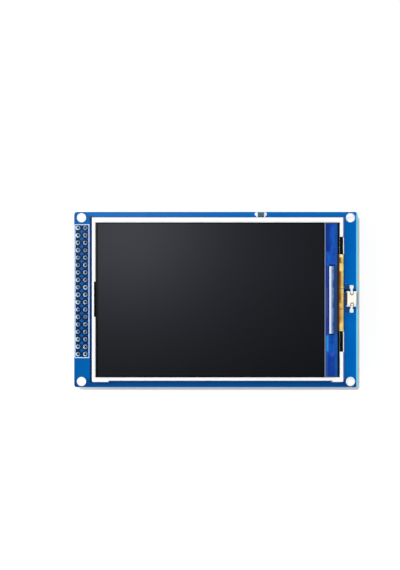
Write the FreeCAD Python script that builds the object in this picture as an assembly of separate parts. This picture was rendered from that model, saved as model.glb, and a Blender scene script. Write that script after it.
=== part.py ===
import FreeCAD, Part
import math
import os

# A colour TFT display module: a blue circuit board that carries a backlit glass display on its front,
# a two-row pin header along its left end, a memory card socket and its chips on its back.
# Millimetres. The origin is the middle of the four corner holes on the board's back face.
# +Z is the way the screen faces, +X runs along the board away from the header, +Y is the photo's up.

Vector = FreeCAD.Vector
ACROSS_X, ACROSS_Y, UP = Vector(1, 0, 0), Vector(0, 1, 0), Vector(0, 0, 1)

# Circuit board
BOARD_LENGTH = 97.0
BOARD_WIDTH = 60.0
BOARD_THICKNESS = 1.6
BOARD_CORNER_RADIUS = 1.0
HOLE_FROM_END = 2.5
HOLE_FROM_SIDE = 2.0
HOLE_DIAMETER = 2.6
HOLE_PAD_DIAMETER = 3.2
COPPER_THICKNESS = 0.05
PAD_SIDES = 16

# Pin header on the back, soldered from the front
PIN_PITCH = 2.54
PIN_ROWS = 18
PIN_COLUMNS = 2
PIN_WIDTH = 0.64
PIN_TIP_WIDTH = 0.34
PIN_TAPER = 0.5
PIN_REACH = 6.0
PIN_TAIL = 1.3
PIN_DRILL_DIAMETER = 1.02
HEADER_HEIGHT = 2.54
HEADER_NOTCH = 0.4
HEADER_FROM_LEFT = 0.03
HEADER_FROM_TOP = 4.2
JOINT_FOOT_DIAMETER = 1.7
JOINT_NECK_DIAMETER = 1.0
JOINT_HEIGHT = 0.9
JOINT_SIDES = 8

# Display unit: place on the board and walls of its white frame
MODULE_FROM_LEFT = 6.0
MODULE_FROM_RIGHT = 4.8
MODULE_FROM_TOP = 1.8
MODULE_FROM_BOTTOM = 2.2
LEFT_WALL = 1.45
RIGHT_WALL = 1.45
TOP_WALL = 1.9
BOTTOM_WALL = 1.3
FRAME_LEDGE = 1.3
FRAME_LIP = 0.1
FRAME_BEVEL = 0.3
FRAME_TOP_RADIUS = 0.3
FRAME_FOOT_RADIUS = 1.1
FOOT_DROP = 0.4
LEFT_FOOT_LENGTH = 6.0
RIGHT_FOOT_LENGTH = 4.2

# Display unit: thickness of each layer, from the board up
FOAM_THICKNESS = 0.5
REFLECTOR_THICKNESS = 0.1
GUIDE_THICKNESS = 0.6
FILM_THICKNESS = 0.1
RIM_TAPE_THICKNESS = 0.1
POLARISER_THICKNESS = 0.2
GLASS_THICKNESS = 0.5

# Display unit: clearances and edges of the layers
REFLECTOR_INSET = 0.3
GUIDE_CLEARANCE = 0.1
GLASS_CLEARANCE = 0.15
GLASS_END_GAP = 0.55
RIM_TAPE_CLEARANCE = 0.05
RIM_OVER_FILM = 1.0
POLARISER_INSET = 0.35
POLARISER_LEFT_INSET = 0.7
POLARISER_RIGHT_INSET = 0.8
POLARISER_CORNER_RADIUS = 0.4
BARE_LEDGE = 4.25
FOAM_STRIP_WIDTH = 5.0
FOAM_INSET = 0.6
FOAM_END_GAP = 9.0

# Backlight lamps
LAMP_COUNT = 6
LAMP_LENGTH = 3.8
LAMP_DEPTH = 1.0
LAMP_HEIGHT = 0.6
LAMP_GAP = 0.1
LAMP_BAY = 3.5
LAMP_STRIP_THICKNESS = 0.15
LAMP_STRIP_WIDTH = 3.0

# Driver chip and coating on the bare ledge of the glass
CHIP_LENGTH = 23.0
CHIP_WIDTH = 1.54
CHIP_HEIGHT = 0.3
CHIP_FROM_GLASS_END = 1.5
COATING_THICKNESS = 0.22
COATING_MARGIN = 0.1
COATING_END_MARGIN = 0.25
COATING_ROUNDING = 0.08

# Flexible tail, folded round the frame's end to the board
TAIL_WIDTH = 26.2
TAIL_THICKNESS = 0.12
TAIL_FROM_TOP = 14.55
TAIL_BOND = 1.0
TAIL_BEND_RADIUS = 0.8
TAIL_FROM_FRAME_END = 0.1
TAIL_UNDER = 7.6
TAIL_SIDE_CLEARANCE = 0.15
TAIL_PAD_COUNT = 26
TAIL_PAD_PITCH = 1.0
TAIL_PAD_WIDTH = 0.5
TAIL_PAD_LENGTH = 1.2

# Black seals beside the tail and the black pad in the left wall
SEAL_ABOVE = 6.0
SEAL_BELOW = 7.0
SEAL_HEIGHT = 0.6
SEAL_SETBACK = 0.4
SIDE_PAD_LENGTH = 12.0
SIDE_PAD_DEPTH = 0.55
SIDE_PAD_HEIGHT = 1.4
SIDE_PAD_FROM_TOP = 29.85

# Reset switch
SWITCH_FROM_RIGHT = 2.13
SWITCH_FROM_TOP = 29.75
SWITCH_COVER_WIDTH = 3.55
SWITCH_COVER_LENGTH = 5.4
SWITCH_COVER_HEIGHT = 1.0
SWITCH_COVER_ROOF = 0.3
SWITCH_CORNER_RADIUS = 0.3
SWITCH_BASE_LENGTH = 4.74
SWITCH_BASE_HEIGHT = 0.6
SWITCH_BASE_STEP = 0.45
SWITCH_TRAVEL = 0.25
CAP_WIDTH = 3.1
CAP_LENGTH = 4.4
CAP_HEIGHT = 0.7
CAP_GAP = 0.1
CAP_EDGE_BEVEL = 0.12
STEM_DIAMETER = 1.3
STEM_CLEARANCE = 0.15
STEM_FLANGE_DIAMETER = 2.3
STEM_FLANGE_HEIGHT = 0.23
STEM_REST_GAP = 0.05
POST_DIAMETER = 0.85
POST_CLEARANCE = 0.2
POST_FROM_CAP_END = 0.35
DOME_DIAMETER = 2.6
DOME_HEIGHT = 0.4
DOME_THICKNESS = 0.08
DOME_WELL_CLEARANCE = 0.1
SWITCH_SPAN = 8.9
TERMINAL_WIDTH = 1.3
TERMINAL_THICKNESS = 0.2
TERMINAL_NOTCH = 0.35
TERMINAL_SHOULDER = 0.25
TERMINAL_NECKING = 0.25
TERMINAL_FOOT_LENGTH = 0.9
TERMINAL_LEVEL = 0.5
SOLDER_TOE = 0.25

# Power lamp on the front, at the board's top edge
LED_FROM_RIGHT = 33.15
LED_FROM_TOP = 0.92
LED_LENGTH = 3.2
LED_WIDTH = 1.6
LED_BASE_HEIGHT = 0.4
LED_LENS_LENGTH = 2.1
LED_LENS_HEIGHT = 0.6
LED_LENS_TAPER = 0.12
LED_END_LENGTH = 0.5
LED_END_THICKNESS = 0.05
LED_SOLDER_LENGTH = 0.5

# Memory card socket on the back, its mouth at the right end
CARD_WIDTH = 24.0
CARD_THICKNESS = 2.1
CARD_SIDE_CLEARANCE = 0.15
CARD_TOP_CLEARANCE = 0.2
SOCKET_FROM_RIGHT = 0.5
SOCKET_DEPTH = 26.5
SOCKET_RAIL = 1.65
SOCKET_FLOOR = 0.4
SOCKET_REAR = 4.0
SHELL_SHEET = 0.2
SHELL_LIFT = 0.5
SHELL_BEND_RADIUS = 0.25
SHELL_TAB_LENGTH = 2.0
SHELL_TAB_REACH = 1.1
SHELL_TAB_INSET = 3.0
SHELL_MOUTH_WIDTH = 15.0
SHELL_MOUTH_DEPTH = 2.6
SHELL_LANCE_LENGTH = 9.0
SHELL_LANCE_WIDTH = 2.2
SHELL_LANCE_SLOT = 0.5
SHELL_LANCE_FROM_SIDE = 4.0
CONTACT_COUNT = 9
CONTACT_PITCH = 2.5
CONTACT_WIDTH = 1.0
CONTACT_SHEET = 0.15
CONTACT_REACH = 9.0
CONTACT_RISE = 0.9
CONTACT_TAIL = 1.0

# Bus driver chips on the back
BUS_CHIP_COUNT = 2
BUS_CHIP_LENGTH = 12.5
BUS_CHIP_WIDTH = 6.1
BUS_CHIP_HEIGHT = 1.0
BUS_CHIP_LEAD_COUNT = 24
BUS_CHIP_PITCH = 0.5
BUS_CHIP_SPAN = 8.1
BUS_CHIP_FROM_LEFT = 15.5
BUS_CHIP_FROM_TOP = 15.0
BUS_CHIP_SPACING = 23.0
CHIP_STANDOFF = 0.1
LEAD_THICKNESS = 0.15
LEAD_WIDTH = 0.22
LEAD_FOOT = 0.5
MARK_DIAMETER = 0.9
MARK_DEPTH = 0.1
MARK_INSET = 1.0

# Regulator and transistor on the back
REGULATOR_LENGTH = 6.5
REGULATOR_WIDTH = 3.5
REGULATOR_HEIGHT = 1.6
REGULATOR_SPAN = 7.0
REGULATOR_LEAD_PITCH = 2.3
REGULATOR_LEAD_WIDTH = 0.7
REGULATOR_TAB_WIDTH = 3.0
REGULATOR_LEAD_THICKNESS = 0.26
REGULATOR_FROM_LEFT = 32.0
REGULATOR_FROM_TOP = 9.0
TRANSISTOR_LENGTH = 2.9
TRANSISTOR_WIDTH = 1.3
TRANSISTOR_HEIGHT = 1.0
TRANSISTOR_SPAN = 2.8
TRANSISTOR_LEAD_PITCH = 1.9
TRANSISTOR_LEAD_WIDTH = 0.4
TRANSISTOR_FROM_LEFT = 32.0
TRANSISTOR_FROM_TOP = 48.0
BODY_DRAFT = 0.15

# Chip capacitors and resistors on the back
CAPACITOR_LENGTH = 2.0
CAPACITOR_WIDTH = 1.25
CAPACITOR_HEIGHT = 0.9
CAPACITOR_END = 0.4
CAPACITOR_COUNT = 5
CAPACITOR_SPACING = 4.5
CAPACITOR_FROM_LEFT = 26.0
CAPACITOR_FROM_TOP = 18.0
RESISTOR_LENGTH = 1.6
RESISTOR_WIDTH = 0.8
RESISTOR_HEIGHT = 0.45
RESISTOR_END = 0.3
RESISTOR_COUNT = 10
RESISTOR_SPACING = 2.0
RESISTOR_FROM_LEFT = 38.5
RESISTOR_FROM_TOP = 20.0

# Places that follow from the sizes above
LEFT, RIGHT = -BOARD_LENGTH / 2, BOARD_LENGTH / 2
TOP, BOTTOM = BOARD_WIDTH / 2, -BOARD_WIDTH / 2
FRONT = BOARD_THICKNESS

REFLECTOR_BACK = FRONT + FOAM_THICKNESS
REFLECTOR_TOP = REFLECTOR_BACK + REFLECTOR_THICKNESS
GUIDE_TOP = REFLECTOR_TOP + GUIDE_THICKNESS
DIFFUSER_TOP = GUIDE_TOP + FILM_THICKNESS
LOWER_PRISM_TOP = DIFFUSER_TOP + FILM_THICKNESS
LEDGE_TOP = LOWER_PRISM_TOP + FILM_THICKNESS
RIM_TAPE_TOP = LEDGE_TOP + RIM_TAPE_THICKNESS
REAR_POLARISER_TOP = RIM_TAPE_TOP + POLARISER_THICKNESS
GLASS_TOP = REAR_POLARISER_TOP + GLASS_THICKNESS
FILTER_TOP = GLASS_TOP + GLASS_THICKNESS
SCREEN_TOP = FILTER_TOP + POLARISER_THICKNESS
FRAME_TOP = SCREEN_TOP + FRAME_LIP

# Plan rectangles, each as left, right, bottom, top
FRAME_PLAN = (
    LEFT + MODULE_FROM_LEFT,
    RIGHT - MODULE_FROM_RIGHT,
    BOTTOM + MODULE_FROM_BOTTOM,
    TOP - MODULE_FROM_TOP,
)
POCKET_PLAN = (
    FRAME_PLAN[0] + LEFT_WALL,
    FRAME_PLAN[1] - RIGHT_WALL,
    FRAME_PLAN[2] + BOTTOM_WALL,
    FRAME_PLAN[3] - TOP_WALL,
)


def inset(plan, by):
    """A plan rectangle drawn in by the same distance on all four sides."""
    left, right, bottom, top = plan
    return (left + by, right - by, bottom + by, top - by)


def around(x, y, length, width):
    """A plan rectangle centred on a place, so long along X and so wide along Y."""
    return (x - length / 2, x + length / 2, y - width / 2, y + width / 2)


WELL_PLAN = inset(POCKET_PLAN, FRAME_LEDGE)
GUIDE_PLAN = inset(WELL_PLAN, GUIDE_CLEARANCE)
GUIDE_PLAN = (GUIDE_PLAN[0], WELL_PLAN[1] - LAMP_BAY, GUIDE_PLAN[2], GUIDE_PLAN[3])
GLASS_PLAN = inset(POCKET_PLAN, GLASS_CLEARANCE)
GLASS_PLAN = (GLASS_PLAN[0], POCKET_PLAN[1] - GLASS_END_GAP, GLASS_PLAN[2], GLASS_PLAN[3])
FILTER_PLAN = (GLASS_PLAN[0], GLASS_PLAN[1] - BARE_LEDGE, GLASS_PLAN[2], GLASS_PLAN[3])
TAIL_TOP = TOP - TAIL_FROM_TOP
TAIL_BOTTOM = TAIL_TOP - TAIL_WIDTH


def block(low, high):
    """A box between two opposite corners."""
    low, high = Vector(*low), Vector(*high)
    size = high - low
    return Part.makeBox(size.x, size.y, size.z, low)


def slab(plan, low, high):
    """A plan rectangle with a thickness."""
    left, right, bottom, top = plan
    return block((left, bottom, low), (right, top, high))


def upright_edges(shape, chosen=lambda x, y: True):
    """The edges that stand along Z at the plan places that are chosen."""
    found = []
    for edge in shape.Edges:
        first, last = edge.Vertexes[0].Point, edge.Vertexes[-1].Point
        if abs(first.x - last.x) + abs(first.y - last.y) < 1e-6 and chosen(first.x, first.y):
            found.append(edge)
    return found


def rounded_slab(plan, low, high, radius):
    """A slab with round upright corners."""
    plate = slab(plan, low, high)
    return plate.makeFillet(radius, upright_edges(plate)).Solids[0]


def flat_face(points):
    """A flat face with the given corners."""
    return Part.Face(Part.makePolygon(points + points[:1]))


def ringed_solid(rings):
    """A solid of flat faces through rings of as many corners each, closed by its first and last ring."""
    faces = [flat_face(rings[0]), flat_face(rings[-1])]
    for lower, upper in zip(rings, rings[1:]):
        for i in range(len(lower)):
            j = (i + 1) % len(lower)
            faces.append(flat_face([lower[i], lower[j], upper[j], upper[i]]))
    solid = Part.Solid(Part.Shell(faces))
    if solid.Volume < 0:
        solid.reverse()
    return solid


def plan_corners(plan, level):
    """The four corners of a plan rectangle at a level."""
    left, right, bottom, top = plan
    return [Vector(x, y, level) for x, y in ((left, bottom), (right, bottom), (right, top), (left, top))]


def polygon_corners(x, y, level, diameter, sides):
    """Corners of an even polygon inside a circle."""
    steps = [2 * math.pi * (i + 0.5) / sides for i in range(sides)]
    return [Vector(x + diameter / 2 * math.cos(a), y + diameter / 2 * math.sin(a), level) for a in steps]


def flared_slab(plan, low, high, flare):
    """A slab that widens evenly from its low face to its high one, or narrows if flare is negative."""
    return ringed_solid([plan_corners(plan, low), plan_corners(inset(plan, -flare), high)])


def disc(x, y, low, high, diameter):
    """An upright cylinder."""
    return Part.makeCylinder(diameter / 2, high - low, Vector(x, y, low), UP)


def prism(points, sweep):
    """A flat outline swept along a vector."""
    return flat_face(points).extrude(sweep)


def strip_side(points, shift, radius):
    """One side of a bent strip: its ends, and at each bend one mitred point or the arc's three."""
    runs = [(b - a).normalize() for a, b in zip(points, points[1:])]
    across = [Vector(-run.y, run.x, 0) for run in runs]
    side = [[points[0] + across[0] * shift]]
    for before, after, corner, run_in, run_out in zip(across, across[1:], points[1:], runs, runs[1:]):
        if radius == 0:
            mitre = before + after
            side.append([corner + mitre * (shift / mitre.dot(after))])
            continue
        turn = run_in.getAngle(run_out)
        sense = 1 if run_in.cross(run_out).z > 0 else -1
        reach = radius * math.tan(turn / 2)
        start, end = corner - run_in * reach, corner + run_out * reach
        centre = start + before * (radius * sense)
        middle = centre + (corner - centre).normalize() * (radius - shift * sense)
        side.append([start + before * shift, middle, end + after * shift])
    side.append([points[-1] + across[-1] * shift])
    return side


def bent_strip(path, thickness, radius, at, sweep):
    """A strip of sheet whose middle line follows a path of (u, v) points with rounded bends.

    at turns a flat point into a point in space, sweep is the vector across the strip's width."""
    points = [Vector(u, v, 0) for u, v in path]
    there = strip_side(points, thickness / 2, radius)
    back = [bend[::-1] for bend in strip_side(points, -thickness / 2, radius)[::-1]]
    bends = there + back
    edges = []
    for bend, following in zip(bends, bends[1:] + bends[:1]):
        spots = [at(p.x, p.y) for p in bend]
        if len(spots) == 3:
            edges.append(Part.Arc(*spots).toShape())
        edges.append(Part.makeLine(spots[-1], at(following[0].x, following[0].y)))
    return Part.Face(Part.Wire(edges)).extrude(sweep)


def spread(count, spacing):
    """Places of a row of equal things about its middle."""
    return [(i - (count - 1) / 2) * spacing for i in range(count)]


def header_centre():
    """Plan centre of the pin header, from the board's left and top edges."""
    return (
        LEFT + HEADER_FROM_LEFT + PIN_COLUMNS * PIN_PITCH / 2,
        TOP - HEADER_FROM_TOP - PIN_ROWS * PIN_PITCH / 2,
    )


def pin_places():
    """Plan places of the header's pins."""
    x, y = header_centre()
    return [
        (x + along, y + up)
        for along in spread(PIN_COLUMNS, PIN_PITCH)
        for up in spread(PIN_ROWS, PIN_PITCH)
    ]


def hole_places():
    """Plan places of the four corner holes."""
    return [
        (sx * (RIGHT - HOLE_FROM_END), sy * (TOP - HOLE_FROM_SIDE)) for sx in (-1, 1) for sy in (-1, 1)
    ]


def pin_drill(x, y, low, high):
    """One drilled pin hole as a body, with few sides because it repeats."""
    return ringed_solid([polygon_corners(x, y, z, PIN_DRILL_DIAMETER, JOINT_SIDES) for z in (low, high)])


def circuit_board():
    """The board with round corners, four screw holes and a drilled hole for each pin."""
    board = rounded_slab((LEFT, RIGHT, BOTTOM, TOP), 0, FRONT, BOARD_CORNER_RADIUS)
    drills = [disc(x, y, 0, FRONT, HOLE_DIAMETER) for x, y in hole_places()]
    drills += [pin_drill(x, y, 0, FRONT) for x, y in pin_places()]
    return board.cut(Part.makeCompound(drills))


def hole_pads():
    """A tinned ring on each face round each corner hole."""
    rings = []
    for x, y in hole_places():
        for low in (-COPPER_THICKNESS, FRONT):
            high = low + COPPER_THICKNESS
            outer, inner = (
                ringed_solid([polygon_corners(x, y, z, across, PAD_SIDES) for z in (low, high)])
                for across in (HOLE_PAD_DIAMETER, HOLE_DIAMETER / math.cos(math.pi / PAD_SIDES))
            )
            rings.append(outer.cut(inner))
    return Part.makeCompound(rings)


def pin_core(x, y):
    """The square bar of one pin without its tips, for cutting what it passes through."""
    return slab(around(x, y, PIN_WIDTH, PIN_WIDTH), -HEADER_HEIGHT, FRONT + PIN_TAIL)


def header_pins():
    """Square pins with tapered tips, long ends down for the mating socket."""
    tips = (
        (-HEADER_HEIGHT - PIN_REACH, PIN_TIP_WIDTH),
        (-HEADER_HEIGHT - PIN_REACH + PIN_TAPER, PIN_WIDTH),
        (FRONT + PIN_TAIL - PIN_TAPER / 2, PIN_WIDTH),
        (FRONT + PIN_TAIL, PIN_TIP_WIDTH),
    )
    pin = ringed_solid([plan_corners(around(0, 0, side, side), level) for level, side in tips])
    return Part.makeCompound([pin.translated(Vector(x, y, 0)) for x, y in pin_places()])


def header_body():
    """The header's plastic, notched between the rows so that it can be snapped to length."""
    x, y = header_centre()
    half_width = PIN_COLUMNS * PIN_PITCH / 2
    half_pitch = PIN_PITCH / 2
    right_side = []
    for up in spread(PIN_ROWS, PIN_PITCH):
        right_side += [
            (half_width - HEADER_NOTCH, up - half_pitch),
            (half_width, up - half_pitch + HEADER_NOTCH),
            (half_width, up + half_pitch - HEADER_NOTCH),
        ]
    right_side.append((half_width - HEADER_NOTCH, PIN_ROWS * half_pitch))
    left_side = [(-along, -up) for along, up in right_side]
    outline = [Vector(x + along, y + up, -HEADER_HEIGHT) for along, up in right_side + left_side]
    body = prism(outline, UP * HEADER_HEIGHT)
    return body.cut(Part.makeCompound([pin_core(px, py) for px, py in pin_places()]))


def header_solder():
    """A solder joint at each pin, which covers the drilled hole and climbs the pin's tail."""
    joint = ringed_solid([
        polygon_corners(0, 0, FRONT, JOINT_FOOT_DIAMETER, JOINT_SIDES),
        polygon_corners(0, 0, FRONT + JOINT_HEIGHT, JOINT_NECK_DIAMETER, JOINT_SIDES),
    ])
    joint = joint.cut(pin_core(0, 0))
    return Part.makeCompound([joint.translated(Vector(x, y, 0)) for x, y in pin_places()])


def foam_strips():
    """Double-sided foam under the display unit, left open at the end where the tail folds under."""
    left, right, bottom, top = inset(FRAME_PLAN, FOAM_INSET)
    right -= FOAM_END_GAP
    strips = [
        (left, right, top - FOAM_STRIP_WIDTH, top),
        (left, right, bottom, bottom + FOAM_STRIP_WIDTH),
        (left, left + FOAM_STRIP_WIDTH, bottom + FOAM_STRIP_WIDTH, top - FOAM_STRIP_WIDTH),
    ]
    return Part.makeCompound([slab(strip, FRONT, REFLECTOR_BACK) for strip in strips])


def reflector_sheet():
    """White sheet that closes the display unit's back, up to the wall where the tail folds down."""
    left, right, bottom, top = inset(FRAME_PLAN, REFLECTOR_INSET)
    return slab((left, POCKET_PLAN[1], bottom, top), REFLECTOR_BACK, REFLECTOR_TOP)


def frame_foot(left, right):
    """A small tab that drops below the frame's bottom edge at a corner."""
    bottom = FRAME_PLAN[2]
    return block((left, bottom - FOOT_DROP, REFLECTOR_TOP), (right, bottom, FRAME_TOP))


def backlight_frame():
    """The moulded white frame: a deep well for the light guide, a wider pocket for the glass.

    Its right wall is lowered beside the tail and open where the tail folds down."""
    left, right, bottom, top = FRAME_PLAN
    frame = slab(FRAME_PLAN, REFLECTOR_TOP, FRAME_TOP)
    frame = frame.fuse(frame_foot(left, left + LEFT_FOOT_LENGTH))
    frame = frame.fuse(frame_foot(right - RIGHT_FOOT_LENGTH, right)).removeSplitter()
    frame = frame.makeFillet(FRAME_FOOT_RADIUS, upright_edges(
        frame, lambda x, y: y < bottom - FOOT_DROP / 2 and (x < left + FOOT_DROP or x > right - FOOT_DROP)
    ))
    frame = frame.makeFillet(FRAME_TOP_RADIUS, upright_edges(frame, lambda x, y: y > top - FOOT_DROP))
    frame = frame.cut(slab(WELL_PLAN, REFLECTOR_TOP, LEDGE_TOP))
    frame = frame.cut(slab(POCKET_PLAN, LEDGE_TOP, FRAME_TOP))
    frame = frame.cut(flared_slab(POCKET_PLAN, FRAME_TOP - FRAME_BEVEL, FRAME_TOP, FRAME_BEVEL))
    window_top, window_bottom = TAIL_TOP + SEAL_ABOVE, TAIL_BOTTOM - SEAL_BELOW
    frame = frame.cut(block((POCKET_PLAN[1], window_bottom, LEDGE_TOP), (right, window_top, FRAME_TOP)))
    frame = frame.cut(block(
        (POCKET_PLAN[1], TAIL_BOTTOM - TAIL_SIDE_CLEARANCE, REFLECTOR_TOP),
        (right, TAIL_TOP + TAIL_SIDE_CLEARANCE, LEDGE_TOP),
    ))
    frame = frame.cut(slab(side_pad_plan(), LEDGE_TOP, FRAME_TOP))
    return frame.Solids[0]


def side_pad_plan():
    """Plan of the notch in the frame's left wall."""
    upper = TOP - SIDE_PAD_FROM_TOP + SIDE_PAD_LENGTH / 2
    edge = POCKET_PLAN[0]
    return (edge - SIDE_PAD_DEPTH, edge, upper - SIDE_PAD_LENGTH, upper)


def side_pad():
    """Black pad in the notch of the left wall."""
    return slab(side_pad_plan(), LEDGE_TOP, LEDGE_TOP + SIDE_PAD_HEIGHT)


def light_guide():
    """Clear plate that spreads the lamps' light over the screen."""
    return slab(GUIDE_PLAN, REFLECTOR_TOP, GUIDE_TOP)


def diffuser_sheet():
    """Milky sheet on the light guide."""
    return slab(GUIDE_PLAN, GUIDE_TOP, DIFFUSER_TOP)


def lower_prism_sheet():
    """First of two crossed prism sheets."""
    return slab(GUIDE_PLAN, DIFFUSER_TOP, LOWER_PRISM_TOP)


def upper_prism_sheet():
    """Second of two crossed prism sheets."""
    return slab(GUIDE_PLAN, LOWER_PRISM_TOP, LEDGE_TOP)


def lamp_strip():
    """Flexible strip that carries the backlight lamps."""
    start = GUIDE_PLAN[1] + LAMP_GAP
    plan = (start, start + LAMP_STRIP_WIDTH, GUIDE_PLAN[2], GUIDE_PLAN[3])
    return slab(plan, REFLECTOR_TOP, REFLECTOR_TOP + LAMP_STRIP_THICKNESS)


def backlight_lamps():
    """A row of side-shining lamps against the light guide's end."""
    low = REFLECTOR_TOP + LAMP_STRIP_THICKNESS
    start = GUIDE_PLAN[1] + LAMP_GAP
    spacing = (GUIDE_PLAN[3] - GUIDE_PLAN[2]) / LAMP_COUNT
    middle = (GUIDE_PLAN[3] + GUIDE_PLAN[2]) / 2
    lamps = []
    for up in spread(LAMP_COUNT, spacing):
        plan = (start, start + LAMP_DEPTH, middle + up - LAMP_LENGTH / 2, middle + up + LAMP_LENGTH / 2)
        lamps.append(slab(plan, low, low + LAMP_HEIGHT))
    return Part.makeCompound(lamps)


def rim_tape():
    """Black tape ring that holds the glass to the frame's ledge and hides the lamps."""
    ring = slab(inset(POCKET_PLAN, RIM_TAPE_CLEARANCE), LEDGE_TOP, RIM_TAPE_TOP)
    return ring.cut(slab(inset(GUIDE_PLAN, RIM_OVER_FILM), LEDGE_TOP, RIM_TAPE_TOP))


def rear_polariser():
    """Polarising sheet on the back of the display glass."""
    return slab(FILTER_PLAN, RIM_TAPE_TOP, REAR_POLARISER_TOP)


def display_glass():
    """Rear glass with the pixel circuits; its right end stays bare for the driver chip."""
    return slab(GLASS_PLAN, REAR_POLARISER_TOP, GLASS_TOP)


def filter_glass():
    """Front glass with the colour filters, shorter than the rear one."""
    return slab(FILTER_PLAN, GLASS_TOP, FILTER_TOP)


def front_polariser():
    """Dark polarising sheet that is the visible screen."""
    left, right, bottom, top = FILTER_PLAN
    plan = (
        left + POLARISER_LEFT_INSET,
        right - POLARISER_RIGHT_INSET,
        bottom + POLARISER_INSET,
        top - POLARISER_INSET,
    )
    return rounded_slab(plan, FILTER_TOP, SCREEN_TOP, POLARISER_CORNER_RADIUS)


def driver_chip():
    """Bare silicon driver chip bonded to the glass."""
    right = GLASS_PLAN[1] - CHIP_FROM_GLASS_END
    middle = (GLASS_PLAN[2] + GLASS_PLAN[3]) / 2
    plan = (right - CHIP_WIDTH, right, middle - CHIP_LENGTH / 2, middle + CHIP_LENGTH / 2)
    return slab(plan, GLASS_TOP, GLASS_TOP + CHIP_HEIGHT)


def ledge_coating():
    """Blue protective coating over the bare ledge, round the chip and over the tail's bonded edge."""
    left, right, bottom, top = GLASS_PLAN
    plan = (
        FILTER_PLAN[1] + COATING_MARGIN,
        right,
        bottom + COATING_END_MARGIN,
        top - COATING_END_MARGIN,
    )
    coat = slab(plan, GLASS_TOP, GLASS_TOP + COATING_THICKNESS)
    crest = [edge for edge in coat.Edges if edge.BoundBox.ZMin > GLASS_TOP]
    return coat.makeFillet(COATING_ROUNDING, crest).cut(driver_chip()).cut(flex_tail()).Solids[0]


def flex_tail():
    """Amber flexible circuit: bonded to the glass, bent down round the frame, flat under the unit."""
    half = TAIL_THICKNESS / 2
    bond_start = GLASS_PLAN[1] - TAIL_BOND
    fold = FRAME_PLAN[1] - TAIL_FROM_FRAME_END - half
    upper, lower = GLASS_TOP + half, FRONT + half
    path = [(bond_start, upper), (fold, upper), (fold, lower), (fold - TAIL_UNDER, lower)]
    return bent_strip(
        path, TAIL_THICKNESS, TAIL_BEND_RADIUS, lambda x, z: Vector(x, TAIL_BOTTOM, z), ACROSS_Y * TAIL_WIDTH
    )


def flex_solder():
    """A row of soldered pads where the tail's end meets the board."""
    end = FRAME_PLAN[1] - TAIL_FROM_FRAME_END - TAIL_THICKNESS / 2 - TAIL_UNDER
    middle = (TAIL_TOP + TAIL_BOTTOM) / 2
    pads = []
    for up in spread(TAIL_PAD_COUNT, TAIL_PAD_PITCH):
        plan = around(end - TAIL_PAD_LENGTH / 2, middle + up, TAIL_PAD_LENGTH, TAIL_PAD_WIDTH)
        pads.append(slab(plan, FRONT, FRONT + TAIL_THICKNESS))
    return Part.makeCompound(pads)


def edge_seals():
    """Black foam on the lowered wall, one piece on each side of the tail."""
    left, right = POCKET_PLAN[1], FRAME_PLAN[1] - SEAL_SETBACK
    spans = (
        (TAIL_TOP + TAIL_SIDE_CLEARANCE, TAIL_TOP + SEAL_ABOVE),
        (TAIL_BOTTOM - SEAL_BELOW, TAIL_BOTTOM - TAIL_SIDE_CLEARANCE),
    )
    high = LEDGE_TOP + SEAL_HEIGHT
    return Part.makeCompound([slab((left, right, *span), LEDGE_TOP, high) for span in spans])


# Levels and places of the reset switch
SWITCH_X = RIGHT - SWITCH_FROM_RIGHT
SWITCH_Y = TOP - SWITCH_FROM_TOP
BASE_TOP = FRONT + SWITCH_BASE_HEIGHT
COVER_TOP = BASE_TOP + SWITCH_COVER_HEIGHT
ROOF_UNDER = COVER_TOP - SWITCH_COVER_ROOF
CAP_UNDER = COVER_TOP + SWITCH_TRAVEL + CAP_GAP
FLANGE_TOP = ROOF_UNDER - STEM_REST_GAP
TERMINAL_HEIGHT = BASE_TOP + TERMINAL_LEVEL


def around_switch(width, length):
    """A plan rectangle centred on the reset switch."""
    return around(SWITCH_X, SWITCH_Y, width, length)


def post_places():
    """Distances of the two posts along the switch from its middle."""
    reach = CAP_LENGTH / 2 - POST_FROM_CAP_END
    return (SWITCH_Y - reach, SWITCH_Y + reach)


def switch_base():
    """Dark moulded base of the reset switch, wider than the cover on the screen's side."""
    left, right, bottom, top = around_switch(SWITCH_COVER_WIDTH, SWITCH_BASE_LENGTH)
    return slab((left - SWITCH_BASE_STEP, right, bottom, top), FRONT, BASE_TOP)


def switch_cover():
    """White cover with a well for the dome, a hole for the stem, two posts and notches for the terminals."""
    plan = around_switch(SWITCH_COVER_WIDTH, SWITCH_COVER_LENGTH)
    cover = rounded_slab(plan, BASE_TOP, COVER_TOP, SWITCH_CORNER_RADIUS)
    for y in post_places():
        cover = cover.fuse(disc(SWITCH_X, y, COVER_TOP, CAP_UNDER + CAP_HEIGHT / 2, POST_DIAMETER))
    well = DOME_DIAMETER + 2 * DOME_WELL_CLEARANCE
    cover = cover.cut(disc(SWITCH_X, SWITCH_Y, BASE_TOP, ROOF_UNDER, well))
    cover = cover.cut(disc(SWITCH_X, SWITCH_Y, ROOF_UNDER, COVER_TOP, STEM_DIAMETER + 2 * STEM_CLEARANCE))
    for sense in (-1, 1):
        outer = SWITCH_Y + sense * SWITCH_COVER_LENGTH / 2
        inner = outer - sense * TERMINAL_NOTCH
        half = TERMINAL_WIDTH / 2
        notch = (SWITCH_X - half, SWITCH_X + half, min(inner, outer), max(inner, outer))
        cover = cover.cut(slab(notch, BASE_TOP, COVER_TOP))
    return cover


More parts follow.
